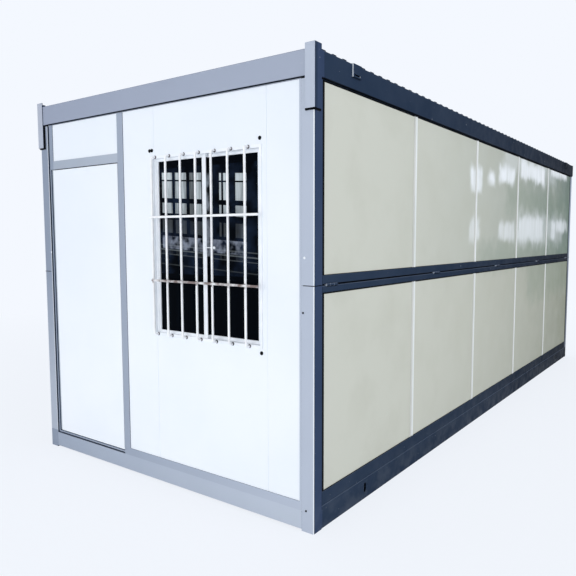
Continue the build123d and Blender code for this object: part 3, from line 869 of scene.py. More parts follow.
@dataclass(frozen=True)
class SealRubber(PlainCoat):
    """Moulded rubber, grey on its uprights and black over the sill, where the black is painted
    shade under the sill.
    """

    upright_grey: str = "#b0b9c5"
    sill_level: float = 0.136

    def layers(self, tree: Tree) -> dict[str, Any]:
        """Lay the rubber, then the grey of the uprights.

        Args:
            tree: the material's node tree.

        Returns:
            What each socket of the principled shader gets.
        """
        feeds = super().layers(tree)
        where = add_node(tree, "TexCoord").outputs["Object"]
        height = add_node(tree, "SeparateXYZ", (where,)).outputs["Z"]
        above_sill = zone(tree, (height, (self.sill_level, self.sill_level + 3)))
        feeds["Base Color"] = add_node(tree, "Mix", (above_sill, feeds["Base Color"], self.upright_grey),
                                       data_type="RGBA")
        return feeds


@dataclass
class FinishShelf:
    """Every material of the cabin, each built once."""

    # Air-dried enamel, sprayed on folded steel: a flat, slightly cloudy coat with painted light
    # (lit blue-grey ends, shaded navy sides, pale highlights on bends); it soaks up light, so it
    # shows almost no highlight
    frame_enamel: FrameEnamel = FrameEnamel("enamel_on_folded_steel", "frame_paint")
    # The same enamel on the fold hinges: dark, with pale end tones on the knuckles as painted
    # highlights, and a little more gloss
    hinge_enamel: FrameEnamel = FrameEnamel("enamel_on_hinges_painted_highlights", "fold_hinge_paint",
                                            end_zone=0.0, roughness=0.36)
    # The same enamel on the roof's end beams, with lit end tones nearly even: a mid grey from end
    # to end
    beam_enamel: FrameEnamel = FrameEnamel("enamel_on_roof_beams", "frame_paint",
                                           lit_end_tones=("#9ba3b6", "#a6aebf"))
    # The same enamel over weld beads: no painted highlights on bends, so the ripples show by their
    # shade alone
    weld_enamel: FrameEnamel = FrameEnamel("enamel_over_welds", "frame_paint", highlight_share=0.0)
    # The same enamel on the lifting lugs: painted highlight nearly white on the front ones,
    # painted navy shade behind
    lug_enamel: FrameEnamel = FrameEnamel("enamel_on_lugs", "frame_paint",
                                          lit_end_tones=("#e3eaf2", "#e3eaf2"),
                                          rear_share=1.0, end_zone=0.0)
    # The same enamel on the transom bar, the base's ends and the guide angles, with paler end
    # tones, which sets these parts off from their neighbours
    bar_enamel: FrameEnamel = FrameEnamel("enamel_on_transom_bar", "frame_paint",
                                          lit_end_tones=("#a5aebc", "#c6cedb"))
    angle_enamel: FrameEnamel = FrameEnamel("enamel_on_guide_angles", "frame_paint",
                                            lit_end_tones=("#b4bac8", "#b9c1d0"))
    base_enamel: FrameEnamel = FrameEnamel("enamel_on_base_ends", "frame_paint",
                                           lit_end_tones=("#a1abbc", "#c0c8d5"))
    # Polyester coil coating, rolled on: a clean cool white, satin, with a very faint long wave,
    # and painted shade greying it towards the roof
    white_sheet: WallSheet = WallSheet("white_coil_coated_sheet", "front_panel_skin")
    # The ivory coating with its factory film still on: matt where the film has gone, glossy where
    # it still holds, with bright streaked patches of painted reflection there and painted shade
    # towards the rear
    film_sheet: FilmedSheet = FilmedSheet("ivory_sheet_under_film_painted_light", "side_panel_skin")
    # Roll-formed cover strips: the same coating in plain white, so that each joint reads as a
    # crisp upright line
    strip_sheet: CoatedSheet = CoatedSheet("white_cover_strip", "strip_skin",
                                           colour="#f3f6f6", shade="#e9edec")
    # The folded flange beside a strip: ivory like its panel, so only its lip catches the light
    flange_sheet: CoatedSheet = CoatedSheet("ivory_joint_flange", "side_panel_skin",
                                            colour="#dcdcd8", shade="#d0d1cc")
    # Roll-formed roof sheet: a duller blue-grey coat that keeps its ribs calm from above
    roof_sheet: CoatedSheet = CoatedSheet("ribbed_roof_coating", "roof_skin",
                                          colour="#4c5870", shade="#5c6880", roughness=0.45)
    # Extruded window section, powder coated white: smooth, with a soft clear highlight; the rear
    # sash's stile in painted shade and painted reflection
    sash_section: SashSection = SashSection("white_window_section", "window_alloy",
                                            colour="#f6f9fe", shade="#eef3f9",
                                            roughness=0.25, patch_mm=90.0)
    # Float glass: near black as painted shade of the unlit room behind, with painted reflections,
    # and as smooth as it comes
    pane: FloatGlass = FloatGlass("float_glass", "window_pane")
    # Bright drawn bar: pale and satiny, with dull patches where hands and rain got at it
    bar: SteelBar = SteelBar("bright_drawn_bar", "grille_steel")
    # Zinc-plated hinges and screws: a grey metal shine, spotted with dirt
    hinge: SteelBar = SteelBar("zinc_plated_hinge", "hinge_steel", colour="#a9adb2",
                               dirt="#4d4a46", dirt_share=0.5, metallic=0.85)
    screw: SteelBar = SteelBar("zinc_plated_screw", "hinge_steel", colour="#b4b9be",
                               dirt="#77736d", dirt_share=0.4, metallic=0.8)
    # Phenolic-faced floor board, hot pressed: a warm matt brown with soft wear
    board: PlainCoat = PlainCoat("phenolic_floor_board", "floor_board", colour="#6d5a45",
                                 shade="#7c6850", roughness=0.55, patch_mm=140.0, grain_mm=6.0)
    # Lining board, coated in rolls: an even warm white without shine
    lining: PlainCoat = PlainCoat("ceiling_lining", "ceiling_board", colour="#e6e9ea",
                                  shade="#dde0e2", patch_mm=500.0, grain_mm=6.0)
    # Moulded black rubber for the fold seals, and black pieces as painted shade in gaps: it drinks
    # the light, so gaps read as thin dark lines
    rubber_and_gap_shade: PlainCoat = PlainCoat("black_rubber_and_painted_gap_shade", "door_rubber", colour="#040507",
                                  shade="#0c0e11", roughness=0.7, patch_mm=30.0,
                                  grain_mm=3.0, specular=0.05)
    # The same rubber round the door: grey uprights over a black sill seal, whose black is painted
    # shade
    door_seal: SealRubber = SealRubber("rubber_seal_painted_sill_shade", "door_rubber", colour="#040507",
                                       shade="#0c0e11", roughness=0.7, patch_mm=30.0,
                                       grain_mm=3.0, specular=0.05)
    # Steel blackened in oil: the bolts are near black, with only a dull glint on an edge
    black_steel: PlainCoat = PlainCoat("blackened_bolt", "hinge_steel", colour="#020304",
                                       shade="#08090b", roughness=0.45, specular=0.1)
    # Weld metal round the foot of each rod, dark brown-violet as painted shade where the rod meets
    # the frame
    foot_weld_shade: SteelBar = SteelBar("foot_weld_painted_shade", "grille_steel", colour="#665c63",
                                    dirt="#2f2a2f", dirt_share=1.0, metallic=0.6,
                                    roughness=0.55)
    built: dict[str, bpy.types.Material] = field(default_factory=dict)

    def material(self, finish: Finish) -> bpy.types.Material:
        """Give the material of a finish, building it the first time.

        Args:
            finish: the finish that is asked for.

        Returns:
            Its material.
        """
        if finish.name not in self.built:
            self.built[finish.name] = finish.build()
        return self.built[finish.name]


# Sub-assemblies

@dataclass
class SubAssembly:
    """What every sub-assembly does: dress CAD nodes and add its own pieces."""

    shelf: FinishShelf

    def dress_nodes(self, finish: Finish, names: Iterable[str]) -> None:
        """Give CAD nodes their material.

        Args:
            finish: the finish they get.
            names: the nodes' names.
        """
        material = self.shelf.material(finish)
        for name in names:
            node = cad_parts[name]
            if not node.material_slots:
                node.data.materials.append(None)
            for place in node.material_slots:
                place.material = material
            log.info("dressed %s in %s", name, finish.name)

    def add_piece(self, name: str, mesh: Mesh, finish: Finish,
                  body: str = "cabin") -> bpy.types.Object:
        """Turn a mesh into a piece that rides on a body, shaded smooth up to its sharp edges.

        Args:
            name: the piece's name.
            mesh: its mesh, in the row frame, in metres; it is freed here.
            finish: its finish.
            body: the CAD body it rides on.

        Returns:
            The new object.
        """
        data = bpy.data.meshes.new(name)
        bmesh.ops.recalc_face_normals(mesh, faces=mesh.faces)
        mesh.to_mesh(data)
        mesh.free()
        data.shade_smooth()
        data.set_sharp_from_angle(angle=SMOOTH_ANGLE)
        piece = bpy.data.objects.new(name, data)
        piece.data.materials.append(self.shelf.material(finish))
        bpy.context.scene.collection.objects.link(piece)
        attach(piece, body)
        log.info("built %s with %d faces", name, len(data.polygons))
        return piece


def join_rings(mesh: Mesh, rings: Sequence[Sequence[Vector]]) -> None:
    """Skin a row of rings of points, and cap both ends.

    Args:
        mesh: the mesh that takes the skin.
        rings: rings with the same count of points, in metres.
    """
    made = [[mesh.verts.new(point) for point in ring] for ring in rings]
    count = len(made[0])
    for low, high in zip(made, made[1:]):
        for i in range(count):
            j = (i + 1) % count
            mesh.faces.new((low[i], low[j], high[j], high[i]))
    mesh.faces.new(list(reversed(made[0])))
    mesh.faces.new(made[-1])


def turned_profile(mesh: Mesh, at: Vector, out: Vector,
                   profile: Sequence[tuple[float, float]], sides: int) -> None:
    """Add a closed shape turned around an axis.

    Args:
        mesh: the mesh that takes it.
        at: where the axis starts.
        out: the axis, as a unit vector.
        profile: radius and distance along the axis of each ring, in metres; the last is capped.
        sides: how many sides it has.
    """
    turn = Vector((0, 0, 1)).rotation_difference(out).to_matrix()
    rings = []
    for radius, along in profile:
        angles = [2 * math.pi * i / sides for i in range(sides)]
        rings.append([at + turn @ Vector((radius * math.cos(a), radius * math.sin(a), along))
                      for a in angles])
    join_rings(mesh, rings)


def straight_run(mesh: Mesh, section: Sequence[Vector], run: Vector) -> None:
    """Add a bar of one section.

    Args:
        mesh: the mesh that takes it.
        section: the section's corners at the start, in metres.
        run: the way to the other end.
    """
    join_rings(mesh, [section, [point + run for point in section]])


def bent_rod(mesh: Mesh, corners: Sequence[Vector], radius: float, bend: float,
             sides: int = 14, steps: int = 6) -> None:
    """Add a round rod that is bent smoothly at each corner of its route.

    Args:
        mesh: the mesh that takes it.
        corners: the route's ends and corners, in metres.
        radius: the rod's radius.
        bend: how far before a corner its bend starts.
        sides: how many sides the rod has.
        steps: how many short runs make a bend.
    """
    route = [corners[0]]
    for before, corner, after in zip(corners, corners[1:], corners[2:]):
        first = corner + (before - corner).normalized() * bend
        last = corner + (after - corner).normalized() * bend
        for i in range(steps + 1):
            t = i / steps
            route.append(first * (1 - t) ** 2 + corner * 2 * t * (1 - t) + last * t * t)
    route.append(corners[-1])
    across = Vector((1, 0, 0))
    rings = []
    for i, point in enumerate(route):
        ahead = (route[min(i + 1, len(route) - 1)] - route[max(i - 1, 0)]).normalized()
        up = across.cross(ahead)
        rings.append([point + radius * (math.cos(a) * across + math.sin(a) * up)
                      for a in (2 * math.pi * k / sides for k in range(sides))])
    join_rings(mesh, rings)


class HeadStyle(Enum):
    """How a fastener's head is shaped: its count of sides."""

    HEX = 6
    PAN = 20


@dataclass
class Fastener:
    """One bolt or screw: a domed washer and a chamfered head, in metres."""

    place: Vector
    out: Vector
    head_across: float = 13 * MM
    washer_across: float = 19 * MM
    head_height: float = 6 * MM
    style: HeadStyle = HeadStyle.HEX
    washer_sides: int = 24
    # The head starts just inside the washer
    head_start: float = 1.9 * MM
    # Each profile's radius, as a share; then the washer's levels, and the head's as a share
    washer_profile: tuple[Limits, ...] = ((1.0, -SINK), (1.0, 1.2 * MM), (0.86, 2.0 * MM))
    head_profile: tuple[Limits, ...] = ((1.0, 0.0), (1.0, 0.72), (0.86, 0.92), (0.7, 1.0))

    def add_to(self, mesh: Mesh) -> None:
        """Add the fastener to a mesh.

        Args:
            mesh: the mesh that takes it.
        """
        washer, head = self.washer_across / 2, self.head_across / 2
        turned_profile(mesh, self.place, self.out,
                       [(washer * share, level) for share, level in self.washer_profile],
                       self.washer_sides)
        turned_profile(mesh, self.place + self.out * self.head_start, self.out,
                       [(head * share, self.head_height * level)
                        for share, level in self.head_profile], self.style.value)


@dataclass
class WeldBead:
    """One weld bead: a low rippled ridge along a seam, in metres."""

    start: Vector
    finish: Vector
    out: Vector
    width: float = 7 * MM
    height: float = 1.8 * MM
    ripple: float = 4 * MM
    # How much of its full size the bead has between two ripples, and at its ends
    trough: float = 0.82
    tail: float = 0.3
    # Where the bead's shoulder is, as shares of its half width and of its height
    shoulder: Limits = (0.55, 0.75)
    sink: float = 0.3 * MM

    def add_to(self, mesh: Mesh) -> None:
        """Add the bead to a mesh.

        Args:
            mesh: the mesh that takes it.
        """
        run = self.finish - self.start
        side = run.normalized().cross(self.out)
        count = max(4, int(run.length / self.ripple) * 2)
        shoulder_out, shoulder_up = self.shoulder
        rings = []
        for i in range(count + 1):
            swell = 1.0 if i % 2 else self.trough
            if i in (0, count):
                swell = self.tail
            at = self.start + run * (i / count)
            half, high = self.width / 2 * swell, self.height * swell
            rings.append([at - side * half - self.out * self.sink,
                          at - side * half * shoulder_out + self.out * high * shoulder_up,
                          at + self.out * high,
                          at + side * half * shoulder_out + self.out * high * shoulder_up,
                          at + side * half - self.out * self.sink])
        join_rings(mesh, rings)


@dataclass
class BaseFrame(SubAssembly):
    """The steel base: beams, corner blocks, joists, the deck and the welds between them."""

    steel: tuple[str, ...] = ("base_side_beams", "base_corner_blocks", "floor_joists")
    post_size: float = 0.078
    half_width: float = 1.2
    half_length: float = 2.9
    beam_levels: Limits = (0.014, 0.106)

    def build(self) -> None:
        """Dress the base and its deck, and lay the welds of its corners."""
        self.dress_nodes(self.shelf.frame_enamel, self.steel)
        self.dress_nodes(self.shelf.base_enamel, ["base_end_beams"])
        self.dress_nodes(self.shelf.board, ["floor_deck"])
        self.add_piece("base_corner_welds", self.corner_welds(), self.shelf.weld_enamel)

    def corner_welds(self) -> Mesh:
        """Lay a bead on each upright seam between a corner block and its beams.

        Returns:
            The mesh of all beads.
        """
        mesh = bmesh.new()
        low, high = self.beam_levels
        for side in (-1, 1):
            for end in (-1, 1):
                seams = ((side * (self.half_width - self.post_size), end * self.half_length,
                          Vector((0, end, 0))),
                         (side * self.half_width, end * (self.half_length - self.post_size),
                          Vector((side, 0, 0))))
                for x, y, out in seams:
                    WeldBead(Vector((x, y, low)), Vector((x, y, high)), out).add_to(mesh)
        return mesh


@dataclass
class LongWall(SubAssembly):
    """One long wall: two framed halves that meet at the fold line, with their seals."""

    side: int = 1
    post_back: float = 2.822
    panel_face: float = 1.195
    frame_face: float = 1.2
    panel_levels: tuple[Limits, ...] = ((0.2043, 1.2627), (1.3543, 2.3347))
    # Widths of the sealant at the front, the rear, the top and the bottom of the panels
    sealant_widths: tuple[float, float, float, float] = (0.024, 0.006, 0.007, 0.003)
    # How far it stays behind the frame's face, and off the posts
    sealant_set_back: float = 0.4 * MM
    sealant_clear: float = 0.1 * MM
    # Where a fillet hollows: how proud it is there, and at which share of its width
    upright_hollow: Limits = (1.4 * MM, 0.3)
    level_hollow: Limits = (1.6 * MM, 0.35)
    fold_gap: Limits = (1.2994, 1.3066)
    fold_seal: Limits = (1.132, 1.183)
    bulb_angles: tuple[int, ...] = (-45, 0, 45)
    joints: tuple[float, ...] = (-1.725, -0.575, 0.575, 1.725)
    # The flange beside a joint: how far off it starts, where its lip starts and where it ends
    flange: tuple[float, float, float] = (0.011, 0.030, 0.036)
    flange_proud: float = 0.8 * MM
    lip_proud: float = 3.6 * MM
    lip_bevels: Limits = (0.4 * MM, 0.6 * MM)

    def build(self) -> None:
        """Dress the frames, panels, strips and hinges of this wall, and seal its seams."""
        word = "right" if self.side > 0 else "left"
        names = [f"{word}_{half}" for half in ("lower", "upper")]
        self.dress_nodes(self.shelf.frame_enamel, [f"{name}_frame" for name in names])
        self.dress_nodes(self.shelf.film_sheet, [f"{name}_panels" for name in names])
        self.dress_nodes(self.shelf.strip_sheet, [f"{word}_joint_strips"])
        self.dress_nodes(self.shelf.hinge_enamel, [f"{word}_fold_hinges"])
        self.add_piece(f"{word}_fold_seal", self.fold_line_seal(), self.shelf.rubber_and_gap_shade)
        self.add_piece(f"{word}_panel_shade_sealant", self.panel_shade_sealant(), self.shelf.rubber_and_gap_shade)
        self.add_piece(f"{word}_joint_flanges", self.joint_flanges(), self.shelf.flange_sheet)

    def joint_flanges(self) -> Mesh:
        """Build the thin flange beside each cover strip, which ends in a raised lip.

        Returns:
            The mesh of all flanges.
        """
        mesh = bmesh.new()
        start, lip, end = self.flange
        first_bevel, last_bevel = self.lip_bevels
        face = self.panel_face - SINK
        flat, proud = face + self.flange_proud, face + self.lip_proud
        for joint in self.joints:
            for low, high in self.panel_levels:
                shape = [(face, start), (flat, start), (flat, lip), (proud, lip + first_bevel),
                         (proud, end - last_bevel), (face, end)]
                section = [Vector((self.side * x, joint - w, low)) for x, w in shape]
                straight_run(mesh, section, Vector((0, 0, high - low)))
        return mesh

    def fold_line_seal(self) -> Mesh:
        """Build the rubber strip that closes the gap at the fold: a bulb on a flat tail.

        Returns:
            The strip's mesh.
        """
        low, high = self.fold_gap
        back, front = self.fold_seal
        middle, half = (low + high) / 2, (high - low) / 2
        outline = [(back, middle - half / 2), (front - half, middle - half)]
        outline += [(front - half + half * math.cos(a), middle + half * math.sin(a))
                    for a in (math.radians(d) for d in self.bulb_angles)]
        outline += [(front - half, middle + half), (back, middle + half / 2)]
        start = -self.post_back + MM
        section = [Vector((self.side * x, start, z)) for x, z in outline]
        mesh = bmesh.new()
        straight_run(mesh, section, Vector((0, -2 * start, 0)))
        return mesh

    def panel_shade_sealant(self) -> Mesh:
        """Run a fillet of black sealant around each row of panels, widest along the front posts,
        as painted shade in the seams.

        Returns:
            The mesh of all fillets.
        """
        mesh = bmesh.new()
        front, rear, top, bottom = self.sealant_widths
        face, proud = self.panel_face - SINK, self.frame_face - self.sealant_set_back
        reach = self.post_back - self.sealant_clear
        for low, high in self.panel_levels:
            for end, width in ((-1, front), (1, rear)):
                rise, share = self.upright_hollow
                shape = [(face, 0.0), (proud, 0.0), (face + rise, width * share), (face, width)]
                section = [Vector((self.side * x, end * (reach - w), low)) for x, w in shape]
                straight_run(mesh, section, Vector((0, 0, high - low)))
            for level, width, way in ((high, top, -1), (low, bottom, 1)):
                rise, share = self.level_hollow
                shape = [(face, 0.0), (proud, 0.0), (face + rise, width * share), (face, width)]
                section = [Vector((self.side * x, -reach, level + way * w)) for x, w in shape]
                straight_run(mesh, section, Vector((0, 2 * reach, 0)))
        return mesh


@dataclass(frozen=True)
class PostShadePad:
    """A bevelled black pad on each post, as painted shade in a gap, in metres."""

    levels: Limits
    # How far its inner sides stand back from the post's, and how tall its bevels are
    set_back: float
    bevel_height: float
    # How far a bevel cuts in, on the outer sides and on the inner ones
    outer_bevel: float
    inner_bevel: float


@dataclass
class CornerPosts(SubAssembly):
    """Small things on the corner posts: black pads as painted shade under the roof and in gaps,
    plugs and screws.
    """

    post: Limits = (1.122, 1.2)
    post_end: Limits = (2.822, 2.9)
    shade_pad_proud: float = 0.8 * MM
    top_shade_pad: PostShadePad = PostShadePad((2.335, 2.343), -0.8 * MM, 1.5 * MM, 0.96 * MM, 0.96 * MM)
    fold_shade_pad: PostShadePad = PostShadePad((1.3008, 1.3052), 10 * MM, 0.6 * MM, 0.5 * MM, 0.0)
    # The black pad of painted shade behind a guide angle: its gap to the post and its face, its
    # legs, levels and bevel
    guide_shade_pad: Limits = (0.2 * MM, 6.8 * MM)
    guide_shade_pad_legs: tuple[tuple[int, float], ...] = ((-1, 0.0670), (1, 0.0582))
    guide_shade_pad_side_leg: float = 0.058
    guide_shade_pad_levels: Limits = (2.176, 2.334)
    guide_shade_pad_bevel: Limits = (1.5 * MM, 2 * MM)
    plug_places: tuple[Limits, ...] = ((1.141, 1.445), (-1.118, 1.443))
    plug_profile: tuple[Limits, ...] = ((6.5 * MM, -SINK), (6.5 * MM, 1.0 * MM),
                                        (5.2 * MM, 2.0 * MM), (2.6 * MM, 2.5 * MM))
    plug_sides: int = 20
    screw_places: tuple[Limits, ...] = ((1.132, 1.163), (1.151, 0.116))
    # A screw's head and washer across, and its head's height
    screw_size: tuple[float, float, float] = (8 * MM, 11 * MM, 3 * MM)

    def build(self) -> None:
        """Add the black pads of painted shade, the plugs and the screws."""
        self.add_piece("post_top_shade_pads", self.post_shade_pads(self.top_shade_pad), self.shelf.rubber_and_gap_shade)
        self.add_piece("guide_angle_shade_pads", self.guide_shade_pads(), self.shelf.rubber_and_gap_shade)
        self.add_piece("post_fold_shade_pads", self.post_shade_pads(self.fold_shade_pad), self.shelf.rubber_and_gap_shade)
        plugs, screws = bmesh.new(), bmesh.new()
        ahead = Vector((0, -1, 0))
        for x, z in self.plug_places:
            turned_profile(plugs, Vector((x, -self.post_end[1], z)), ahead, self.plug_profile,
                           self.plug_sides)
        for x, z in self.screw_places:
            Fastener(Vector((x, -self.post_end[1], z)), ahead, *self.screw_size,
                     HeadStyle.PAN).add_to(screws)
        self.add_piece("post_hole_plugs", plugs, self.shelf.sash_section)
        self.add_piece("post_screws", screws, self.shelf.black_steel)

    def guide_shade_pads(self) -> Mesh:
        """Build the bent black pad between each front post and its guide angle, as painted shade
        in that gap.

        Returns:
            The mesh of both pads.
        """
        mesh = bmesh.new()
        near, far = self.guide_shade_pad
        low, high = self.guide_shade_pad_levels
        cut, cut_height = self.guide_shade_pad_bevel
        x, y = self.post[1], self.post_end[1]
        for side, leg in self.guide_shade_pad_legs:
            side_end, front_end = y + far - self.guide_shade_pad_side_leg, x + far - leg
            # Each corner: its place, and whether the bevel cuts it back in X and in Y
            shape = [(x + near, y + near, 0, 0), (x + near, side_end, 0, 0),
                     (x + far, side_end, 1, 0), (x + far, y + far, 1, 1),
                     (front_end, y + far, 0, 1), (front_end, y + near, 0, 0)]
            join_rings(mesh, [[Vector((side * (u - inset * cut_u), -(v - inset * cut_v), z))
                               for u, v, cut_u, cut_v in shape]
                              for z, inset in ((low, cut), (low + cut_height, 0.0), (high, 0.0))])
        return mesh

    def post_shade_pads(self, shade_pad: PostShadePad) -> Mesh:
        """Build one kind of black pad of painted shade on all four posts, just proud of the steel.

        Args:
            shade_pad: the kind of pad.

        Returns:
            The mesh of the four pads.
        """
        mesh = bmesh.new()
        low, high = shade_pad.levels
        levels = ((low, 1), (low + shade_pad.bevel_height, 0), (high - shade_pad.bevel_height, 0), (high, 1))
        for side in (-1, 1):
            for end in (-1, 1):
                rings = []
                for z, cut in levels:
                    inner, outer = shade_pad.set_back + cut * shade_pad.inner_bevel, cut * shade_pad.outer_bevel
                    x0, x1 = (side * (self.post[0] + inner),
                              side * (self.post[1] + self.shade_pad_proud - outer))
                    y0, y1 = (end * (self.post_end[0] + inner),
                              end * (self.post_end[1] + self.shade_pad_proud - outer))
                    rings.append([Vector((x0, y0, z)), Vector((x1, y0, z)),
                                  Vector((x1, y1, z)), Vector((x0, y1, z))])
                join_rings(mesh, rings)
        return mesh


@dataclass
class RoofFrame(SubAssembly):
    """The roof: beams, guide angles, lifting lugs, ribbed sheet, ceiling, screws and welds."""

    screw_x: tuple[float, ...] = (-1.16, 1.16)
    # A screw's head and washer across, and its head's height
    screw_size: tuple[float, float, float] = (8 * MM, 15 * MM, 5 * MM)
    first_valley: float = -2.831
    rib_pitch: float = 0.1
    valley_count: int = 57
    screw_every: int = 3
    valley_top: float = 2.4762
    lug_middles: tuple[float, ...] = (-2.5145, 2.5145)
    lug_width: float = 0.085
    lug_face: float = 1.207
    lug_levels: Limits = (2.405, 2.475)
    # The side beads stop this far below a lug's top
    weld_stop: float = 4 * MM

    def build(self) -> None:
        """Dress the roof, and add its screws and the welds of its lugs."""
        self.dress_nodes(self.shelf.frame_enamel, ["roof_side_beams"])
        self.dress_nodes(self.shelf.beam_enamel, ["roof_end_beams"])
        self.dress_nodes(self.shelf.angle_enamel, ["roof_guide_angles"])
        self.dress_nodes(self.shelf.lug_enamel, ["roof_lifting_lugs"])
        self.dress_nodes(self.shelf.roof_sheet, ["roof_sheet"])
        self.dress_nodes(self.shelf.lining, ["ceiling"])
        screws = bmesh.new()
        for x in self.screw_x:
            for i in range(1, self.valley_count, self.screw_every):
                place = Vector((x, self.first_valley + i * self.rib_pitch, self.valley_top))
                Fastener(place, Vector((0, 0, 1)), *self.screw_size).add_to(screws)
        self.add_piece("roof_sheet_screws", screws, self.shelf.screw)
        self.add_piece("lug_welds", self.lug_welds(), self.shelf.weld_enamel)

    def lug_welds(self) -> Mesh:
        """Lay a bead up both sides of each lug and one along its foot.

        Returns:
            The mesh of all beads.
        """
        mesh = bmesh.new()
        low, high = self.lug_levels
        for side in (-1, 1):
            x, out = side * self.lug_face, Vector((side, 0, 0))
            for middle in self.lug_middles:
                left, right = middle - self.lug_width / 2, middle + self.lug_width / 2
                for y in (left, right):
                    WeldBead(Vector((x, y, low)), Vector((x, y, high - self.weld_stop)),
                             out).add_to(mesh)
                WeldBead(Vector((x, left, low)), Vector((x, right, low)), out).add_to(mesh)
        return mesh


@dataclass
class EndWalls(SubAssembly):
    """Both end walls: steel frame members, white panels and a black strip of painted shade in the
    jamb's groove.
    """

    steel: tuple[str, ...] = ("front_jambs", "front_mullion", "door_sill",
                              "end_wall_top_strips", "rear_jambs", "end_wall_bottom_rails")
    panels: tuple[str, ...] = ("front_panel_left", "front_panel_over_window",
                               "front_panel_under_window", "front_panel_right",
                               "transom_panel", "rear_panels")
    groove: Limits = (-1.1138, -1.0962)
    groove_depths: Limits = (-2.8702, -2.8760)
    groove_levels: Limits = (0.1102, 2.3346)
    # The strip's bevel: its share of the strip's width, and its depth
    strip_bevel: Limits = (0.2, 2 * MM)

    def build(self) -> None:
        """Dress the frames and panels of both ends, and lay the black strip of painted shade in
        the jamb's groove.
        """
        self.dress_nodes(self.shelf.frame_enamel, self.steel)
        self.dress_nodes(self.shelf.bar_enamel, ["transom_bar"])
        self.dress_nodes(self.shelf.white_sheet, self.panels)
        self.add_piece("jamb_groove_shade_strip", self.painted_groove_strip(), self.shelf.rubber_and_gap_shade)

    def painted_groove_strip(self) -> Mesh:
        """Build the bevelled black strip that lies in the left jamb's groove, as painted shade
        there.

        Returns:
            The strip's mesh.
        """
        mesh = bmesh.new()
        (x0, x1), (back, front), (low, high) = self.groove, self.groove_depths, self.groove_levels
        share, depth = self.strip_bevel
        edge = (x1 - x0) * share
        outline = [(x0, back), (x0, front + depth), (x0 + edge, front), (x1 - edge, front),
                   (x1, front + depth), (x1, back)]
        straight_run(mesh, [Vector((x, y, low)) for x, y in outline], Vector((0, 0, high - low)))
        return mesh


@dataclass
class Door(SubAssembly):
    """The flush door leaf, its lift-off hinges and its seals."""

    def build(self) -> None:
        """Dress the leaf, both halves of its hinges and the seals."""
        self.dress_nodes(self.shelf.white_sheet, ["door_leaf"])
        self.dress_nodes(self.shelf.hinge, ["door_hinge_plates", "door_hinge_leaves"])
        self.dress_nodes(self.shelf.door_seal, ["door_seals"])


@dataclass
class SlidingWindow(SubAssembly):
    """The sliding window, with its sash latch and the bolts at the corners of its grille."""

    # The bolts' places from the front's left corner, across and in height
    bolt_places: tuple[Limits, ...] = ((1.172, 2.074), (1.193, 2.075), (2.048, 2.072),
                                       (2.052, 0.922))
    bolt_size: Limits = (15 * MM, 22 * MM)
    wall_face: float = -2.897
    left_corner: float = -1.200
    sash_face: float = -2.890
    latch_stile: Limits = (0.413, 0.436)
    latch_reach: float = 0.512
    latch_level: float = 1.490
    # The plate: half its height in millimetres, and for each ring how far out and how far in
    plate_half: float = 34.0
    plate_rings: tuple[Limits, ...] = ((0.2, 0.0), (-3.0, 0.0), (-4.2, 1.4))
    # The lever: how far out it starts, its taper, and for each ring its share of the reach, then
    # half its height and its thickness in millimetres
    lever_out: float = 4.0 * MM
    lever_taper: float = 0.7
    lever_rings: tuple[tuple[float, float, float], ...] = (
        (0.0, 3.0, 3.0), (0.7, 2.5, 3.0), (0.76, 8.0, 3.6), (0.94, 8.0, 3.6), (1.0, 4.0, 2.4))

    def build(self) -> None:
        """Dress the window, and add its latch and the black bolts beside it."""
        self.dress_nodes(self.shelf.sash_section, ["window_frame", "window_sashes"])
        self.dress_nodes(self.shelf.pane, ["window_glass"])
        mesh = bmesh.new()
        for across, height in self.bolt_places:
            place = Vector((self.left_corner + across, self.wall_face, height))
            Fastener(place, Vector((0, -1, 0)), *self.bolt_size).add_to(mesh)
        self.add_piece("window_corner_bolts", mesh, self.shelf.black_steel)
        self.add_piece("sash_latch", self.latch(), self.shelf.sash_section)

    def latch(self) -> Mesh:
        """Build the latch: a bevelled plate on the stile and a tapered lever beside it.

        Returns:
            The latch's mesh.
        """
        mesh = bmesh.new()
        (x0, x1), face, level = self.latch_stile, self.sash_face, self.latch_level
        rings = []
        for out, inset in self.plate_rings:
            a, b, y = x0 + inset * MM, x1 - inset * MM, face + out * MM
            half = (self.plate_half - inset) * MM
            rings.append([Vector((a, y, level - half)), Vector((b, y, level - half)),
                          Vector((b, y, level + half)), Vector((a, y, level + half))])
        join_rings(mesh, rings)
        middle = (x0 + x1) / 2
        back = face - self.lever_out
        lever = []
        for share, half_mm, thick_mm in self.lever_rings:
            x, front = middle + (self.latch_reach - middle) * share, back - thick_mm * MM
            half = half_mm * MM
            narrow = half * self.lever_taper
            lever.append([Vector((x, back, level - half)), Vector((x, front, level - narrow)),
                          Vector((x, front, level + narrow)), Vector((x, back, level + half))])
        join_rings(mesh, lever)
        return mesh


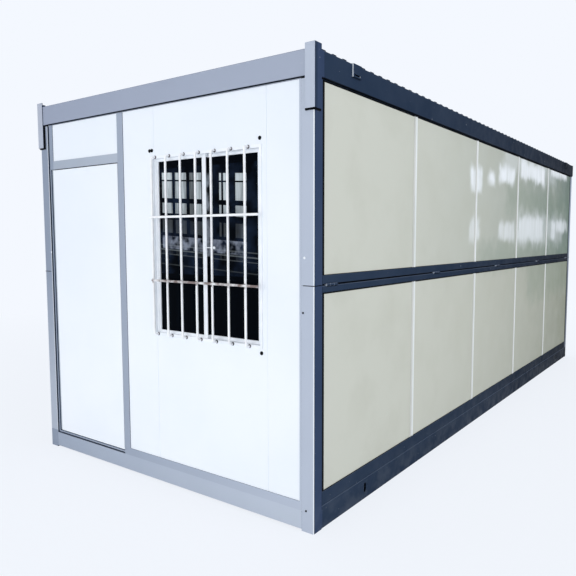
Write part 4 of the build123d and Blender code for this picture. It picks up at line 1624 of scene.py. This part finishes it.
@dataclass
class WindowGrille(SubAssembly):
    """The bars over the window: bent uprights, two cross rods and the welds at each crossing."""

    first_rod: float = 0.026
    rod_pitch: float = 0.124
    rod_count: int = 7
    rod_radius: float = 0.007
    frame_face: float = -2.902
    rod_line: float = -2.932
    levels: Limits = (0.9535, 2.0315)
    cross_levels: Limits = (1.2888, 1.6699)
    bend: float = 0.018
    foot_profile: tuple[Limits, ...] = ((10.5 * MM, -SINK), (10.0 * MM, 1.4 * MM),
                                        (7.6 * MM, 4.5 * MM), (6.9 * MM, 5.0 * MM))
    foot_sides: int = 18
    # A crossing's beads: how far above and below, half their length, and how they tilt
    bead_offset: float = 6.5 * MM
    bead_half: float = 6 * MM
    bead_tilt: Limits = (-0.8, 0.6)
    # A crossing bead's width, height and ripple
    bead_size: tuple[float, float, float] = (6 * MM, 2.6 * MM, 3 * MM)

    def build(self) -> None:
        """Dress the cross rods, and replace the mitred upright rods by smoothly bent ones."""
        self.dress_nodes(self.shelf.bar, ["grille_bars", "grille_cross_bars"])
        rods, welds, feet = bmesh.new(), bmesh.new(), bmesh.new()
        low, high = self.levels
        for i in range(self.rod_count):
            x = self.first_rod + i * self.rod_pitch
            route = [Vector((x, self.frame_face, low)), Vector((x, self.rod_line, low)),
                     Vector((x, self.rod_line, high)), Vector((x, self.frame_face, high))]
            bent_rod(rods, route, self.rod_radius, self.bend)
            for end in (low, high):
                turned_profile(feet, Vector((x, self.frame_face, end)), Vector((0, -1, 0)),
                               self.foot_profile, self.foot_sides)
            for level in self.cross_levels:
                self.crossing_weld(welds, Vector((x, self.rod_line - self.rod_radius, level)))
        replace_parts(self.add_piece("bent_grille_rods", rods, self.shelf.bar), "grille_bars")
        self.add_piece("grille_welds", welds, self.shelf.bar)
        # The dark foot welds are painted shade at each rod's foot
        self.add_piece("rod_foot_welds", feet, self.shelf.foot_weld_shade)

    def crossing_weld(self, mesh: Mesh, at: Vector) -> None:
        """Add the lump of weld above and below one crossing.

        Args:
            mesh: the mesh that takes it.
            at: where the two rods touch.
        """
        ahead, up = self.bead_tilt
        half = Vector((self.bead_half, 0, 0))
        for way in (-1, 1):
            place = at + Vector((0, 0, way * self.bead_offset))
            WeldBead(place - half, place + half, Vector((0, ahead, way * up)),
                     *self.bead_size).add_to(mesh)


# The studio: nothing of it is part of the cabin

@dataclass(frozen=True)
class SoftLamp:
    """A large soft lamp that looks at the middle of the cabin, in metres and watts."""

    name: str
    at: tuple[float, float, float]
    size: float
    power: float
    aim: tuple[float, float, float] = (0, 0, 1.2)

    def hang(self) -> None:
        """Add the lamp to the scene."""
        data = bpy.data.lights.new(self.name, "AREA")
        data.size = self.size
        data.energy = self.power
        lamp = bpy.data.objects.new(self.name, data)
        lamp.location = self.at
        ray = Vector(self.aim) - Vector(self.at)
        lamp.rotation_euler = ray.to_track_quat("-Z", "Y").to_euler()
        lamp.visible_glossy = False
        bpy.context.scene.collection.objects.link(lamp)


@dataclass
class Studio:
    """Floor, lights and camera."""

    backdrop: str = "#f4f8ff"
    floor_colour: str = "#eef2f6"
    floor_size: float = 60.0
    floor_cells: int = 8
    # The floor's glow near the cabin, how far away it starts to grow and ends, and the half
    # size of the floor under the cabin, which doesn't glow
    near_glow: float = 0.86
    glow_grows: Limits = (3.0, 9.0)
    under_cabin: Limits = (1.17, 2.87)
    sky_colour: str = "#f4f7fb"
    sky_strength: float = 0.72
    lamps: tuple[SoftLamp, ...] = (
        SoftLamp("key", (0.4, -9.6, 1.6), 5.0, 200.0),
        SoftLamp("side", (9.0, -1.5, 5.0), 6.0, 185.0),
        SoftLamp("back", (-2.0, 9.5, 5.0), 6.0, 190.0))
    camera_at: tuple[float, float, float] = (2.9078, -5.3458, 1.5440)
    yaw: float = 34.83
    pitch: float = -4.89
    roll: float = 0.08
    sensor: float = 36.0
    lens: float = 37.12
    shift: Limits = (-0.0468, 0.0021)
    sight: float = 200.0

    def build(self) -> None:
        """Set up the floor, the world, the lamps and the camera."""
        bpy.context.scene.view_settings.view_transform = "Standard"
        self.add_floor()
        self.add_world()
        for lamp in self.lamps:
            lamp.hang()
        self.add_camera()

    def seen_ray(self, tree: Tree) -> Node:
        """Tell rays that show the background from rays that light the cabin.

        Args:
            tree: the node tree that asks.

        Returns:
            The node that gives 1 for camera, glossy and transmitted rays.
        """
        path = add_node(tree, "LightPath").outputs
        total = path["Is Camera Ray"]
        for name in ("Is Glossy Ray", "Is Transmission Ray"):
            total = add_node(tree, "Math", (total, path[name]), operation="MAXIMUM")
        return total

    def add_floor(self) -> None:
        """Lay a wide pale floor that keeps a soft shadow and fades into the backdrop."""
        mesh = bmesh.new()
        bmesh.ops.create_grid(mesh, x_segments=self.floor_cells, y_segments=self.floor_cells,
                              size=self.floor_size)
        data = bpy.data.meshes.new("floor")
        mesh.to_mesh(data)
        mesh.free()
        floor = bpy.data.objects.new("floor", data)
        bpy.context.scene.collection.objects.link(floor)
        material = bpy.data.materials.new("pale_studio_floor")
        material.use_nodes = True
        tree = material.node_tree
        tree.nodes.clear()
        plain = add_node(tree, "BsdfDiffuse", {"Color": self.floor_colour})
        glow = add_node(tree, "Emission", {"Color": self.backdrop, "Strength": 1.0})
        share = add_node(tree, "Math", (self.seen_ray(tree), self.glow_share(tree)),
                         operation="MULTIPLY")
        mixed = add_node(tree, "MixShader", (share, plain, glow))
        add_node(tree, "OutputMaterial", {"Surface": mixed})
        floor.data.materials.append(material)

    def glow_share(self, tree: Tree) -> Node:
        """Let the floor glow like the backdrop far away, less near the cabin, and not under it.

        Args:
            tree: the floor's node tree.

        Returns:
            The node that gives the share.
        """
        where = add_node(tree, "TexCoord").outputs["Object"]
        far = add_node(tree, "VectorMath", (where,), operation="LENGTH")
        fade = add_node(tree, "MapRange", (far, *self.glow_grows, self.near_glow))
        spot = add_node(tree, "SeparateXYZ", (where,)).outputs
        under = zone(tree, *((spot[axis], (-half, half))
                             for axis, half in zip("XY", self.under_cabin)))
        open_floor = add_node(tree, "Math", (1.0, under), operation="SUBTRACT")
        return add_node(tree, "Math", (fade, open_floor), operation="MULTIPLY")

    def add_world(self) -> None:
        """Give an even sky: the backdrop colour where it is seen, softer where it lights."""
        world = bpy.data.worlds.new("studio_sky")
        bpy.context.scene.world = world
        world.use_nodes = True
        tree = world.node_tree
        tree.nodes.clear()
        light = add_node(tree, "Background", {"Color": self.sky_colour,
                                              "Strength": self.sky_strength})
        seen = add_node(tree, "Background", {"Color": self.backdrop, "Strength": 1.0})
        mixed = add_node(tree, "MixShader", (self.seen_ray(tree), light, seen))
        add_node(tree, "OutputWorld", {"Surface": mixed})

    def add_camera(self) -> None:
        """Place the camera at the photograph's viewing angle."""
        yaw, pitch, roll = (math.radians(a) for a in (self.yaw, self.pitch, self.roll))
        ahead = Vector((-math.sin(yaw) * math.cos(pitch), math.cos(yaw) * math.cos(pitch),
                        math.sin(pitch)))
        right = ahead.cross(Vector((0, 0, 1))).normalized()
        up = right.cross(ahead)
        right, up = (math.cos(roll) * right + math.sin(roll) * up,
                     math.cos(roll) * up - math.sin(roll) * right)
        data = bpy.data.cameras.new("camera")
        data.sensor_width = self.sensor
        data.lens = self.lens
        data.shift_x, data.shift_y = self.shift
        data.clip_end = self.sight
        camera = bpy.data.objects.new("camera", data)
        turn = Matrix((right, up, -ahead)).transposed().to_4x4()
        camera.matrix_world = Matrix.Translation(self.camera_at) @ turn
        bpy.context.scene.collection.objects.link(camera)
        bpy.context.scene.camera = camera


def main() -> None:
    """Build the cabin's looks, sub-assembly by sub-assembly, then the studio."""
    logging.basicConfig(level=logging.INFO, format="%(name)s: %(message)s")
    shelf = FinishShelf()
    for part in (BaseFrame(shelf), LongWall(shelf, 1), LongWall(shelf, -1), CornerPosts(shelf),
                 RoofFrame(shelf), EndWalls(shelf), Door(shelf), SlidingWindow(shelf),
                 WindowGrille(shelf)):
        part.build()
        log.info("finished %s", type(part).__name__)
    Studio().build()


if __name__ == "__main__":
    main()
